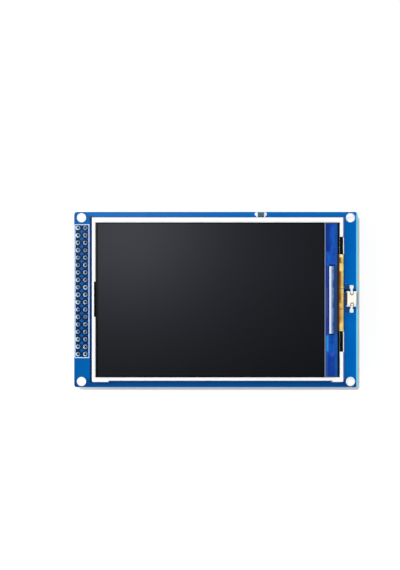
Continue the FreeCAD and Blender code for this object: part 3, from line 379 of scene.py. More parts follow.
def covered_copper():
    """Copper track under solder mask: the same gloss as the board, in the lighter blue of mask on metal."""
    material, tree, shader = new_finish("mask_on_copper", "#1a7fcf", 0.2, Specular_IOR_Level=0.4)
    painted(tree, shader, "#1c82cf", (blotches(tree, 3.0), "#3095dd"))
    relief(tree, shader, blotches(tree, 0.5), 0.004)
    return material


def solder(name, dull, bright):
    """Frozen tin solder: bright and smooth, with faint grey grain."""
    material, tree, shader = new_finish(name, bright, 0.2, Metallic=0.9)
    grain = blotches(tree, 0.5)
    painted(tree, shader, dull, (grain, bright))
    rough(tree, shader, grain, 0.14, 0.3)
    relief(tree, shader, blotches(tree, 0.7), 0.02)
    return material


def ring_tin():
    """Tinned copper ring: pale, nearly white, a little rough, with the wall inside its hole painted dark as
    shade.
    """
    material, tree, shader = new_finish("tinned_copper", "#fbfcfd", 0.5, Metallic=0.12)
    grain = blotches(tree, 0.8)
    soft = 0.05
    wall = zone(tree, soft, z=(BACK + soft, FRONT - soft))
    painted(tree, shader, "#f1f3f6", (grain, "#ffffff"), (wall, "#8b8474"))
    rough(tree, shader, grain, 0.4, 0.58)
    return material


def pin_gold():
    """Gold-flashed brass pin whose sheared end is painted near black: darker bare metal and a painted dark
    reflection.
    """
    material, tree, shader = new_finish("gold_flashed_brass", "#d9a93f", 0.28, Metallic=1.0)
    sheared = zone(tree, 0.06, z=(PINS_HIGH[2] - 0.3, None))
    painted(tree, shader, "#c99632", (blotches(tree, 0.6), "#e6bb58"), (sheared, "#262322"))
    rough(tree, shader, sheared, 0.26, 0.6)
    return material


def moulded(name, colour, shade, roughness, grain=0.45, depth=0.006, coat=None, **sockets):
    """Injection-moulded plastic: an even colour with the mould's fine spark-eroded grain."""
    material, tree, shader = new_finish(name, colour, roughness, **sockets)
    drift = blotches(tree, 4.0, 3.0)
    painted(tree, shader, colour, (drift, shade), *(coat(tree) if coat else ()))
    rough(tree, shader, drift, roughness, roughness + 0.08)
    relief(tree, shader, blotches(tree, grain), depth)
    return material


def thin_rim(tree):
    """Coats of the frame's thin outer edge. The solid stands 0.2 to 0.4 mm outside the white seen in the
    photograph, so its upper edge out there is painted the board's blue darkened by painted shade, deepest
    beside the header."""
    left, right = FRAME_LOW[0] + LEFT_RIM, FRAME_HIGH[0] - RIGHT_RIM
    low, high = FRAME_LOW[1] + FOOT_DROP + LOWER_RIM, FRAME_HIGH[1] - RIM
    wall = zone(tree, 0.1, x=(left, right), y=(low, high))
    for ends in ((left, FRAME_LOW[0] + LEFT_FOOT - RIM), (FRAME_HIGH[0] - RIGHT_FOOT + RIM, right)):
        foot = zone(tree, 0.1, x=ends, y=(FRAME_LOW[1] + RIM, FRAME_LOW[1] + 1.5))
        wall = add(tree, "Math", {0: wall, 1: foot}, operation="MAXIMUM")
    top = (FRAME_HIGH[2] - 0.25, None)
    upper = zone(tree, 0.05, 0.9, z=top)
    outside = add(tree, "Math", {0: 1.0, 1: wall}, operation="SUBTRACT")
    rim = add(tree, "Math", {0: outside, 1: upper}, operation="MULTIPLY")
    beside_header = zone(tree, 0.1, 0.9, x=(None, left), z=top)
    return [(rim, "#264c92"), (beside_header, "#0a286a")]


def film(name, colour, shade, roughness, **sockets):
    """A rolled and cut sheet: smooth, with slow waves in its colour and gloss."""
    material, tree, shader = new_finish(name, colour, roughness, **sockets)
    waves = blotches(tree, 14.0, 1.0)
    painted(tree, shader, colour, (waves, shade))
    rough(tree, shader, waves, roughness * 0.85, roughness * 1.15)
    return material


def screen_polariser():
    """Anti-glare polarising film over a dark panel: near black, and its fine haze spreads a lamp's mirror
    image into a wide soft glow. Its upper right has a faint painted sheen that makes it a little lighter."""
    material, tree, shader = new_finish("anti_glare_polariser", "#07080a", 0.3, Specular_IOR_Level=0.65)
    shader.inputs["Specular Tint"].default_value = linear("#eceeff")
    lit = zone(tree, 40.0, x=(0.0, None), y=(-10.0, None))
    painted(tree, shader, "#040508", (blotches(tree, 25.0, 1.0), "#06070b"), (lit, "#111216"))
    relief(tree, shader, blotches(tree, 0.5, 1.0), 0.0012)
    return material


def edge_glass():
    """Soda-lime display glass over its black border: dark and smooth, with a pale ground edge at the ledge
    and the blue of the gel in the wall beyond it."""
    material, tree, shader = new_finish("bordered_display_glass", "#050607", 0.28, Specular_IOR_Level=0.25)
    above = (GLASS_TOP + 0.02, None)
    ground = zone(tree, 0.06, x=(FILTER_END - GROUND_EDGE, None), z=above)
    wall = zone(tree, 0.06, x=(FILTER_END - GEL_EDGE, None), z=above)
    painted(tree, shader, "#040506", (ground, "#838fa8"), (wall, "#36549c"))
    rough(tree, shader, ground, 0.28, 0.5)
    return material


def blue_gel():
    """Blue silicone over the glass ledge: strong blue, drawn into streaks and purple and cyan patches where
    the fine tracks under it catch the light."""
    material, tree, shader = new_finish("blue_silicone_on_tracks", "#2050aa", 0.18, Specular_IOR_Level=0.4)
    left, bottom = CHIP_LOW[:2]
    right, top = CHIP_HIGH[:2]
    beside = (bottom - 0.1, top + 0.1)
    rows = (
        (1.0, 0.7, (None, 38.9), (top + 5.0, None), "#0a2474"),
        # Close-set tracks between the filter glass and the chip look purple
        (0.25, 0.85, (None, left), beside, "#2b388e"),
        (0.4, 0.4, (None, 37.9), (-6.0, 4.0), "#755a7c"),
        # Painted shade along the chip's left side, and darker blue beside its right
        (0.1, 0.8, (left - 0.35, left), beside, "#16246c"),
        (0.3, 0.8, (right, None), beside, "#1f4072"),
        (0.3, 0.8, (right + 0.5, None), beside, "#343e62"),
        # Towards the outer edge the gel thins over bare glass
        (1.4, 0.8, (40.9, None), (top, None), "#1f4f80"),
        (1.4, 0.7, (40.7, None), (None, bottom), "#1e5e92"),
        # Patches below the chip
        (0.6, 0.9, (None, 38.3), (-17.6, bottom - 0.6), "#2c93e2"),
        (0.8, 0.5, (None, 37.9), (None, -17.6), "#3f7fa8"),
        (2.0, 0.6, (37.9, 40.6), (None, -18.6), "#101f74"),
        (0.8, 0.35, (39.0, 40.4), (-19.4, -17.9), "#4a5ad8"),
        # Painted shade of the chip's ends
        (0.2, 0.9, (left, right + 0.3), (top + 0.05, top + 0.6), "#0a1650"),
        (0.2, 0.9, (left, right + 0.1), (bottom - 0.5, bottom), "#0a1650"),
        # Painted shade of the frame's wall and of the tail's bend along the outer edge
        (0.25, 0.9, (GLASS_END - 0.32, None), WHOLE, "#081024"),
        (0.2, 0.8, (GLASS_END - 0.3, None), (TAIL_LOW[1], TAIL_HIGH[1]), "#2c2414"),
    )
    painted(
        tree, shader, "#0a3290",
        (blotches(tree, 1.1, 2.0, (1, 0.22, 1)), "#1060c4"),
        (blotches(tree, 4.0, 1.0, (1, 0.5, 1), 0.6), "#0c2980"),
        (blotches(tree, 2.4, 1.0, (1, 0.5, 1), 0.2), "#3b45b4"),
        (blotches(tree, 0.7, 3.0, (1, 0.6, 1), 0.45), "#1c64c8"),
        *patches(tree, rows),
    )
    relief(tree, shader, blotches(tree, 1.4, 2.0, (1, 0.4, 1)), 0.02)
    return material


def polished_silicon():
    """Ground and polished silicon: a painted bright cold sheen along one side that fades to blue grey."""
    material, tree, shader = new_finish("polished_silicon", "#dfe9fc", 0.25)
    left = CHIP_LOW[0]
    fade = (
        (0.2, 1.0, (left + 0.45, None), WHOLE, "#9cb2cd"),
        (0.3, 1.0, (left + 0.8, None), WHOLE, "#5c80aa"),
        (0.4, 1.0, (left + 1.1, None), WHOLE, "#20427a"),
    )
    streaks = blotches(tree, 3.0, 1.0, (0.3, 1, 1), 0.2)
    painted(tree, shader, "#eaf4ff", *patches(tree, fade), (streaks, "#c6d6e6"))
    return material


def polyimide():
    """Amber polyimide film over copper: a metal's gloss through a warm film, dark where it lies flat and
    bright where it bends, with painted light on the bend and bulges, painted shade in the creases and
    next to the glass, and faint tracks."""
    material, tree, shader = new_finish("polyimide_over_copper", "#845208", 0.3, Specular_IOR_Level=0.2)
    wave = 2 * math.pi / (TAIL_TRACK_PITCH * MM)
    across = add(tree, "Math", {0: place(tree)[1], 1: wave}, operation="MULTIPLY")
    ripple = add(tree, "Math", {0: across}, operation="SINE")
    tracks = add(tree, "MapRange", {"Value": ripple, "From Min": -1, "From Max": 1, "To Max": 0.2})
    bottom = TAIL_LOW[1]
    outer_x = (GLASS_END + 0.3, None)
    # Painted light on the bend, brightest along its outer edge
    bend = (
        (0.5, 1.0, (GLASS_END, GLASS_END + 1.2), (None, bottom + 9.5), "#b98c36"),
        (0.4, 1.0, (GLASS_END + 0.9, None), WHOLE, "#f8a640"),
        (0.4, 1.0, (GLASS_END + 1.2, None), WHOLE, "#fff0a2"),
    )
    folds = (
        # Painted light on the bulges
        (0.4, 0.8, outer_x, (bottom + 25.2, None), "#ffeeb0"),
        (0.3, 0.75, (GLASS_END + 0.4, None), (bottom + 20.5, bottom + 23.1), "#ffe792"),
        (0.4, 0.6, outer_x, (bottom + 8.4, bottom + 9.5), "#f8cf66"),
        (0.8, 0.7, outer_x, (None, bottom + 2.6), "#ffe88c"),
        # Painted shade in the two creases
        (0.06, 0.7, WHOLE, (bottom + 14.43, bottom + 14.61), "#4a2c06"),
        (0.06, 0.7, WHOLE, (bottom + 7.39, bottom + 7.57), "#4a2c06"),
    )
    # Painted shade where the tail leaves the glass
    shaded = ((0.3, 0.95, (None, GLASS_END + 0.42), WHOLE, "#3c2608"),)
    upper = (GLASS_TOP - 0.9, None)
    painted(
        tree, shader, "#6a3e00",
        *patches(tree, bend, z=upper),
        (tracks, "#8a5a18"),
        # Painted light and dark bands across the tail
        (blotches(tree, 3.5, 2.0, (0.05, 1, 0.05), 0.35), "#f6d888"),
        (blotches(tree, 2.3, 2.0, (0.06, 1, 0.06), 0.35), "#96600f"),
        *patches(tree, folds),
        *patches(tree, shaded, z=upper),
    )
    return material


def brushed_steel():
    """Cold-rolled stainless sheet: bright, with fine lines along the rolling direction."""
    material, tree, shader = new_finish("rolled_stainless", "#c9ccd0", 0.3, Metallic=1.0)
    lines = blotches(tree, 0.5, 3.0, (0.04, 1, 1))
    painted(tree, shader, "#b9bcc1", (lines, "#d7dadd"))
    rough(tree, shader, lines, 0.24, 0.4)
    return material


def post_rims(tree):
    """1 beyond the white middle of the cover's two round posts, where shade is painted, by the distance to
    the nearer post's axis.
    """
    x, y, _ = place(tree)
    middle = (KEY_LOW + KEY_HIGH) / 2 * MM
    along = add(tree, "Math", {0: y, 1: middle[1]}, operation="SUBTRACT")
    apart = add(tree, "Math", {0: along}, operation="ABSOLUTE")
    spot = add(tree, "CombineXYZ", {0: x, 1: apart})
    axis = (middle[0], POST_REACH * MM, 0)
    away = add(tree, "VectorMath", {0: spot, 1: axis}, out="Value", operation="DISTANCE")
    inner, outer = POST_MIDDLE
    return add(tree, "MapRange", {"Value": away, "From Min": inner * MM, "From Max": outer * MM})


def cover_with_painted_shade():
    """White switch cover: bright tabs and post ends, with painted shade round each post, under the key
    and on its two end edges."""
    material, tree, shader = new_finish("white_nylon_with_painted_shade", "#f2f4f6", 0.4)
    post_foot = COVER_HIGH[2] - POST_HEIGHT
    posts = zone(tree, 0.05, z=(post_foot, None))
    rims = add(tree, "Math", {0: posts, 1: post_rims(tree)}, operation="MULTIPLY")
    under = zone(tree, 0.05, y=(KEY_LOW[1], KEY_HIGH[1]), z=(None, post_foot))
    inner = zone(tree, 0.05, y=(COVER_LOW[1] + 0.14, COVER_HIGH[1] - 0.14))
    ends = add(tree, "MapRange", {"Value": inner, "To Min": 0.8, "To Max": 0.0})
    painted(
        tree, shader, "#eef3f8",
        (blotches(tree, 2.0), "#ffffff"), (ends, "#5c6873"), (under, "#5a4a2e"), (rims, "#1c140c"),
    )
    return material


def foam(name, colour, shade, **sockets):
    """Cell foam or felt: its open cells swallow the light, so it has no gloss."""
    return moulded(name, colour, shade, 0.9, 0.5, 0.05, Specular_IOR_Level=0.1, **sockets)


TIN = solder("levelled_solder", "#dcdfe3", "#fdfdfd")
# Solder of the header joints, tinted blue as a painted reflection of the board
BLUE_TINTED_TIN = solder("hand_solder_painted_reflection", "#82a6c2", "#cfe5f6")
RING_TIN = ring_tin()
GOLD = pin_gold()
MASK = solder_mask()
POLYIMIDE = polyimide()
GLASS = edge_glass()
WHITE_PC = moulded("white_polycarbonate", "#f6f8f8", "#f0f3f3", 0.42, coat=thin_rim)
BLACK_NYLON = moulded("glass_filled_nylon", "#1c1c1e", "#141416", 0.5)
MILKY = film("milky_polyester", "#e8ecee", "#dfe5e8", 0.4, Transmission_Weight=0.2)
EPOXY = moulded("moulded_epoxy", "#1d1e20", "#161719", 0.55)
SPRING_STEEL = film("spring_steel", "#c4c6c8", "#b4b7ba", 0.25, Metallic=1.0)
PRINT_INK = moulded("white_epoxy_ink", "#cfe2ff", "#b8d2fa", 0.6)

NODE_FINISHES = {
    "circuit_board": MASK,
    "hole_pads": RING_TIN,
    "header_body": BLACK_NYLON,
    "header_pins": GOLD,
    "header_solder": TIN,
    "foam_strips": foam("white_foam_tape", "#f2f2ef", "#e4e4df"),
    "reflector_sheet": film("silvered_white_film", "#eef0f1", "#e4e8ea", 0.35),
    "backlight_frame": WHITE_PC,
    "light_guide": film("acrylic_plate", "#f2f6f7", "#eaf1f3", 0.05, Transmission_Weight=0.9, IOR=1.49),
    "diffuser_sheet": MILKY,
    "lower_prism_sheet": MILKY,
    "upper_prism_sheet": MILKY,
    "lamp_strip": POLYIMIDE,
    "backlight_lamps": moulded("white_lamp_resin", "#e9e6da", "#dedac9", 0.4),
    "rim_tape": film("black_polyester_tape", "#040405", "#070709", 0.5, Specular_IOR_Level=0.1),
    "rear_polariser": film("dark_polariser", "#101113", "#0b0c0e", 0.15),
    "display_glass": GLASS,
    "filter_glass": GLASS,
    "front_polariser": screen_polariser(),
    "driver_chip": polished_silicon(),
    "ledge_coating": blue_gel(),
    "flex_tail": POLYIMIDE,
    "flex_solder": TIN,
    "edge_seals": foam("black_foam_tape", "#111113", "#0b0b0d"),
    "side_pad": foam("black_felt", "#030304", "#020202"),
    "switch_base": moulded("brown_phenolic", "#4e3d1e", "#3c2e16", 0.5, Specular_IOR_Level=0.3),
    "switch_cover": cover_with_painted_shade(),
    "switch_dome": SPRING_STEEL,
    "switch_plunger": moulded("ivory_acetal", "#fdf8ee", "#f6f1e6", 0.38),
    "switch_terminals": RING_TIN,
    "switch_solder": RING_TIN,
    "power_led_base": moulded("green_lamp_laminate", "#3a4d50", "#2f4043", 0.5),
    "power_led_lens": film("tinted_clear_epoxy", "#3a5a64", "#466a72", 0.15),
    "power_led_ends": RING_TIN,
    "power_led_solder": TIN,
    "sd_base": BLACK_NYLON,
    "sd_shell": brushed_steel(),
    "sd_contacts": GOLD,
    "bus_chips": EPOXY,
    "bus_chip_leads": TIN,
    "regulator_body": EPOXY,
    "regulator_leads": TIN,
    "transistor_body": EPOXY,
    "transistor_leads": TIN,
    "capacitor_bodies": moulded("tan_barium_titanate", "#a98a66", "#96795a", 0.5, 0.3, 0.004),
    "capacitor_ends": TIN,
    "resistor_bodies": moulded("black_glazed_alumina", "#17181a", "#101113", 0.5, 0.3, 0.004),
    "resistor_ends": TIN,
}
for node_name, finish in NODE_FINISHES.items():
    nodes[node_name].data.materials[0] = finish


def grid_faces(rows, columns, closed):
    """Quads of a grid of points numbered row after row; closed joins the last column to the first."""
    steps = columns if closed else columns - 1
    row, column = np.meshgrid(np.arange(rows - 1), np.arange(steps), indexing="ij")
    after = (column + 1) % columns
    quad = [row * columns + column, row * columns + after, (row + 1) * columns + after]
    return np.stack(quad + [(row + 1) * columns + column], -1).reshape(-1, 4)


def many(points, faces):
    """Points of many equal shapes as one list, and their faces. points is shape by point by xyz."""
    count, size = points.shape[:2]
    shifted = faces[None] + (np.arange(count) * size)[:, None, None]
    return points.reshape(-1, 3), shifted.reshape(-1, faces.shape[1])


def joined(*shapes):
    """Several shapes, each its points and faces, as one."""
    starts = np.cumsum([0] + [len(points) for points, _ in shapes[:-1]])
    faces = np.concatenate([faces + start for (_, faces), start in zip(shapes, starts)])
    return np.concatenate([points for points, _ in shapes]), faces


def piece(name, shape, finish, smooth=False, replaces=()):
    """A closed mesh from points in millimetres and faces, merged where they meet, riding on the module."""
    points, faces = shape
    mesh = bpy.data.meshes.new(name)
    mesh.from_pydata((points * MM).tolist(), [], faces.tolist())
    work = bmesh.new()
    work.from_mesh(mesh)
    bmesh.ops.remove_doubles(work, verts=work.verts, dist=1e-7)
    bmesh.ops.dissolve_degenerate(work, edges=work.edges, dist=1e-8)
    bmesh.ops.recalc_face_normals(work, faces=work.faces)
    work.to_mesh(mesh)
    work.free()
    mesh.polygons.foreach_set("use_smooth", [smooth] * len(mesh.polygons))
    made = bpy.data.objects.new(name, mesh)
    bpy.context.scene.collection.objects.link(made)
    mesh.materials.append(finish)
    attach(made, "module")
    if replaces:
        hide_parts(*replaces)
    return made


def turned(places, radius, level, sides, squeeze=(1, 1)):
    """Surfaces of revolution at places x, y: radius and level are shape by step arrays along each profile,
    and squeeze scales the circle along x and y."""
    angle = 2 * math.pi * np.arange(sides) / sides
    x = radius[..., None] * np.cos(angle) * squeeze[0]
    y = radius[..., None] * np.sin(angle) * squeeze[1]
    z = np.broadcast_to(level[..., None], x.shape)
    points = np.stack([x, y, z], -1).reshape(radius.shape[0], -1, 3)
    places = np.asarray(places, float)
    points[..., :2] += places[:, None]
    return many(points, grid_faces(radius.shape[1], sides, True))


def ribbons(paths, width, low, high):
    """Flat strips along paths of corners, mitred at each corner.

    Each side is the path shifted by half the width along the corner's mitre direction."""
    paths = np.asarray(paths, float)
    runs = np.diff(paths, axis=1)
    runs /= np.linalg.norm(runs, axis=2, keepdims=True)
    across = np.stack([-runs[..., 1], runs[..., 0]], -1)
    mitre = np.concatenate([across[:, :1], across[:, :-1] + across[:, 1:], across[:, -1:]], axis=1)
    reach = np.concatenate([across[:, :1], across], axis=1)
    mitre /= np.sum(mitre * reach, -1, keepdims=True)
    sides = []
    for sense, level in ((-1, low), (1, low), (1, high), (-1, high)):
        flat = paths + mitre * (sense * width / 2)
        sides.append(np.concatenate([flat, np.full(flat.shape[:2] + (1,), level)], -1))
    sections = np.stack(sides, 2)
    count, steps = sections.shape[:2]
    last = 4 * steps - 1
    ends = np.array([[0, 1, 2, 3], [last, last - 1, last - 2, last - 3]])
    faces = np.concatenate([grid_faces(steps, 4, True), ends])
    return many(sections.reshape(count, steps * 4, 3), faces)


def outlines(plans, width, low, high):
    """Rectangular rings round plans given as left, right, bottom and top: each corner moves half the width
    out and in, at two levels."""
    left, right, bottom, top = np.asarray(plans, float).T
    corner_x = np.stack([left, right, right, left], -1)
    corner_y = np.stack([bottom, bottom, top, top], -1)
    away = np.array([[-1, -1], [1, -1], [1, 1], [-1, 1]]) * width / 2
    sides = []
    for sense, level in ((1, low), (1, high), (-1, high), (-1, low)):
        x = corner_x + sense * away[:, 0]
        y = corner_y + sense * away[:, 1]
        sides.append(np.stack([x, y, np.full(x.shape, level)], -1))
    rings = np.stack(sides, 2)
    closed = np.concatenate([rings, rings[:, :1]], 1)
    count, steps = closed.shape[:2]
    return many(closed.reshape(count, steps * 4, 3), grid_faces(steps, 4, True))


def plates(plans, low, high):
    """Flat plates over plans given as left, right, bottom and top."""
    left, right, bottom, top = np.asarray(plans, float).T
    x = np.stack([left, right, right, left] * 2, -1)
    y = np.stack([bottom, bottom, top, top] * 2, -1)
    z = np.broadcast_to(np.repeat([low, high], 4), x.shape)
    walls = grid_faces(2, 4, True)
    faces = np.concatenate([walls, [[0, 1, 2, 3], [7, 6, 5, 4]]])
    return many(np.stack([x, y, z], -1), faces)


def row_of(middle, count, pitch):
    """Places of a row about its middle, from low to high."""
    return middle + (np.arange(count) - (count - 1) / 2) * pitch


def vias(places, low, high):
    """Small tinned rings: a rectangle turned round each via's hole."""
    inner, outer = VIA_HOLE / 2, VIA_DIAMETER / 2
    radius = np.repeat([[inner, outer, outer, inner, inner]], len(places), 0)
    level = np.repeat([[low, low, high, high, low]], len(places), 0)
    return turned(places, radius, level, 12)


def middle_y(node):
    """Middle of a CAD node across the board."""
    low, high = corners(node)
    return (low[1] + high[1]) / 2


def column(x, ys):
    """Points at one x."""
    return np.stack([np.full(len(ys), x), ys], -1)


def end_pads(low, high, ys, beyond, within, half):
    """Plans of pads under the two ends of each part in a column: each reaches beyond the end and within
    it, and half its width to each side."""
    sides = ((low[0] - beyond, low[0] + within), (high[0] - within, high[0] + beyond))
    return [(*side, y - half, y + half) for y in ys for side in sides]


def stepped(start, end, turn):
    """Paths from start to end points that run straight along x, at 45 degrees, then straight again."""
    start, end = np.asarray(start, float), np.asarray(end, float)
    way = np.sign(end[:, 0] - start[:, 0])
    knee = turn + way * np.abs(end[:, 1] - start[:, 1])
    first = np.stack([np.full(len(start), turn), start[:, 1]], -1)
    second = np.stack([knee, end[:, 1]], -1)
    return np.stack([start, first, second, end], 1)


def joint_profiles(count, random):
    """Profiles of solder joints: from foot to neck the radius falls with the power 1.3 of the climb."""
    climb = np.linspace(0, 1, 8)
    foot = random.uniform(*JOINT_FOOT, (count, 1))
    neck = random.uniform(*JOINT_NECK, (count, 1))
    height = random.uniform(*JOINT_HEIGHT, (count, 1))
    radius = neck + (foot - neck) * (1 - climb) ** 1.3
    level = FRONT + JOINT_RIM + (height - JOINT_RIM) * climb
    axis = np.zeros((count, 1))
    rim = np.full((count, 1), FRONT)
    radius = np.concatenate([axis, foot, radius, axis], 1)
    level = np.concatenate([rim, rim, level, level[:, -1:]], 1)
    return radius, level


# Solder joints of the pin header
pin_x, pin_y = np.meshgrid(
    FIRST_PIN[0] + np.arange(PIN_COLUMNS) * PIN_PITCH,
    FIRST_PIN[1] + np.arange(PIN_ROWS) * PIN_PITCH,
    indexing="ij",
)
pins = np.stack([pin_x.ravel(), pin_y.ravel()], -1)
draws = np.random.default_rng(7)
joint_radius, joint_level = joint_profiles(len(pins), draws)
joint_places = pins + draws.uniform(-JOINT_SHIFT, JOINT_SHIFT, pins.shape)
joints = turned(joint_places, joint_radius, joint_level, 20)
piece("solder_joints", joints, BLUE_TINTED_TIN, smooth=True, replaces=("header_solder",))

# Tinned rings that line the corner holes: a rectangle with two chamfers turned round each hole's axis
pads_low, pads_high = corners("hole_pads")
inner, outer = HOLE_DIAMETER / 2, RING_DIAMETER / 2
hole_x, hole_y = np.meshgrid(*zip(pads_low[:2] + outer, pads_high[:2] - outer))
corner_holes = np.stack([hole_x.ravel(), hole_y.ravel()], -1)
low, high = pads_low[2], pads_high[2]
edge = RING_CHAMFER
ring_radius = np.repeat([[inner, outer, outer, outer - edge, inner + edge, inner, inner]], 4, 0)
ring_level = np.repeat([[low, low, high - edge, high, high, high - edge, low]], 4, 0)
rings = turned(corner_holes, ring_radius, ring_level, 48)
piece("hole_rings", rings, RING_TIN, replaces=("hole_pads",))

# White print round the header
print_top = FRONT + PRINT_HEIGHT
piece("header_print", outlines([HEADER_PRINT], PRINT_WIDTH, FRONT, print_top), PRINT_INK)


def tail_sag(y):
    """How far the tail's bend sags, from 0 to 1 along its width: soft bell-shaped waves and sharp creases."""
    from_top = TAIL_HIGH[1] - y
    creases = [(middle, CREASE_WIDTH, CREASE_DEPTH) for middle in TAIL_CREASES]
    sag = np.full(y.shape, LEAST_SAG)
    for middle, width, depth in (*TAIL_WAVES, *creases):
        sag = sag + depth * np.exp(-((from_top - middle) / width) ** 2)
    return sag


def folded_tail():
    """The flexible tail: its middle line leaves the glass, bends down round the frame and runs back under
    the unit. Between a flat run with a tight round bend and a quarter ellipse its first bend follows the
    sag, and each section is the middle line thickened along its normal."""
    fold = TAIL_HIGH[0] - TAIL_SHEET / 2
    top = TAIL_HIGH[2] - TAIL_SHEET / 2
    bottom = TAIL_LOW[2] + TAIL_SHEET / 2
    quarter = np.linspace(0, math.pi / 2, 13)[1:]
    centre = fold - TAIL_BEND
    tight_x = np.append(np.linspace(GLASS_END, centre, 9)[1:], centre + TAIL_BEND * np.sin(quarter))
    tight_z = np.append(np.full(8, top), top - TAIL_BEND * (1 - np.cos(quarter)))
    sagged = np.linspace(0, math.pi / 2, 21)[1:]
    sagged_x = GLASS_END + (fold - GLASS_END) * np.sin(sagged)
    sagged_z = top - TAIL_SAG * (1 - np.cos(sagged))
    y = np.linspace(TAIL_LOW[1], TAIL_HIGH[1], 221)[:, None]
    sag = tail_sag(y)
    start = np.linspace(GLASS_END - TAIL_BOND, GLASS_END, 3)
    back_x = np.append(centre + TAIL_BEND * np.cos(quarter), np.linspace(centre, TAIL_LOW[0], 5)[1:])
    back_z = np.append(bottom + TAIL_BEND * (1 - np.sin(quarter)), np.full(4, bottom))
    same = np.ones_like(y)
    x = np.concatenate([same * start, (1 - sag) * tight_x + sag * sagged_x, same * back_x], 1)
    z = np.concatenate([same * np.full(3, top), (1 - sag) * tight_z + sag * sagged_z, same * back_z], 1)
    run_x, run_z = np.gradient(x, axis=1), np.gradient(z, axis=1)
    length = np.hypot(run_x, run_z)
    off_x, off_z = -run_z / length * TAIL_SHEET / 2, run_x / length * TAIL_SHEET / 2
    ring_x = np.concatenate([x + off_x, (x - off_x)[:, ::-1]], 1)
    ring_z = np.concatenate([z + off_z, (z - off_z)[:, ::-1]], 1)
    points = np.stack([ring_x, np.broadcast_to(y, ring_x.shape), ring_z], -1).reshape(-1, 3)
    rows, columns = ring_x.shape
    step = np.arange(columns // 2 - 1)
    end = np.stack([step, step + 1, columns - 2 - step, columns - 1 - step], -1)
    return points, np.concatenate([grid_faces(rows, columns, True), end, end + (rows - 1) * columns])


piece("folded_tail", folded_tail(), POLYIMIDE, smooth=True, replaces=("flex_tail",))

# Solder fillets at the power lamp's two ends: half ellipsoids
lamp_low, lamp_high = corners("power_led_solder")
lamp_y = (lamp_low[1] + lamp_high[1]) / 2 + FILLET_SHIFT
rise = np.linspace(0, math.pi / 2, 7)
fillets = turned(
    [(lamp_low[0] + FILLET_INSET, lamp_y), (lamp_high[0] - FILLET_INSET, lamp_y)],
    np.repeat([np.append(0, np.cos(rise))], 2, 0),
    FRONT + np.repeat([np.append(0, FILLET_HEIGHT * np.sin(rise))], 2, 0),
    20, (FILLET_WIDTH, FILLET_DEPTH),
)
piece("lamp_fillets", fillets, RING_TIN, smooth=True, replaces=("power_led_solder",))

# Vias beside the reset switch
piece("front_vias", vias(SWITCH_VIAS, FRONT, FRONT + TRACK_HEIGHT), BLUE_TINTED_TIN)

# Snap dome of the reset switch: a parabola turned round the key's axis, as it stands before the key flattens
# it
dome_low, dome_high = corners("switch_dome")
out_and_back = np.append(np.linspace(0, 1, 9), np.linspace(1, 0, 9))
arch = (dome_high[2] - dome_low[2] - DOME_SHEET) * (1 - out_and_back**2)
dome_level = dome_low[2] + arch + np.repeat([DOME_SHEET, 0], 9)
dome_middle = (dome_low[:2] + dome_high[:2]) / 2
dome_radius = out_and_back * (dome_high[0] - dome_low[0]) / 2
dome_shape = turned([dome_middle], dome_radius[None], dome_level[None], 32)
dome = piece("snap_dome", dome_shape, SPRING_STEEL, smooth=True, replaces=("switch_dome",))
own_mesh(dome)

# Copper tracks under the mask on the back: header to bus chips, chips to vias, card socket to resistors
leads_low, leads_high = corners("bus_chip_leads")
contacts_low = corners("sd_contacts")[0]
resistors_low, resistors_high = corners("resistor_ends")
capacitors_low, capacitors_high = corners("capacitor_ends")
chip_middles = row_of(middle_y("bus_chips"), 2, CHIP_SPACING)
# All rows of the header but the first and the last, and every third lead of the two chips
header_ends = column(FIRST_PIN[0] + PIN_PITCH + HEADER_TRACK, pin_y[1, 1:-1])
every_third = np.concatenate([row_of(y, CHIP_TRACKS, 3 * LEAD_PITCH) for y in chip_middles])
left_leads = column(leads_low[0], every_third)
right_leads = column(leads_high[0], every_third)
zigzag = np.arange(len(every_third))[:, None] % 2 * [(VIA_STEP, 0)]
chip_vias = right_leads + [(CHIP_VIA, 0)] + zigzag
contact_y = row_of(middle_y("sd_contacts"), CONTACTS, CONTACT_PITCH)
resistor_y = row_of(middle_y("resistor_ends"), RESISTORS, RESISTOR_PITCH)
capacitor_y = row_of(middle_y("capacitor_ends"), CAPACITORS, CAPACITOR_PITCH)
contact_ends = column(contacts_low[0], contact_y)
resistor_right = column(resistors_high[0], resistor_y[:CONTACTS])
resistor_left = column(resistors_low[0], resistor_y)
resistor_vias = resistor_left - [(RESISTOR_VIA, 0)] - zigzag[:RESISTORS]
under = BACK - TRACK_HEIGHT
track_paths = (
    stepped(header_ends, left_leads, header_ends[0, 0] + HEADER_TURN),
    np.stack([right_leads, chip_vias], 1),
    stepped(contact_ends, resistor_right, contacts_low[0] - CONTACT_TURN),
    np.stack([resistor_left, resistor_vias], 1),
)
thin_tracks = joined(*(ribbons(paths, TRACK_WIDTH, under, BACK) for paths in track_paths))
piece("back_tracks", thin_tracks, covered_copper())
back_vias = np.concatenate([chip_vias, resistor_vias])
piece("back_vias", vias(back_vias, under - VIA_RISE, BACK), RING_TIN)

# Tinned pads under the leads of the parts on the back
lead_y = np.concatenate([row_of(y, CHIP_LEADS, LEAD_PITCH) for y in chip_middles])
beyond, within, half = CONTACT_PAD
pad_plans = [
    *end_pads(leads_low, leads_high, lead_y, *CHIP_PAD),
    *end_pads(resistors_low, resistors_high, resistor_y, *RESISTOR_PAD),
    *end_pads(capacitors_low, capacitors_high, capacitor_y, *CAPACITOR_PAD),
    *((contacts_low[0] - beyond, contacts_low[0] + within, y - half, y + half) for y in contact_y),
]
piece("back_pads", plates(pad_plans, BACK - PAD_HEIGHT, BACK), TIN)

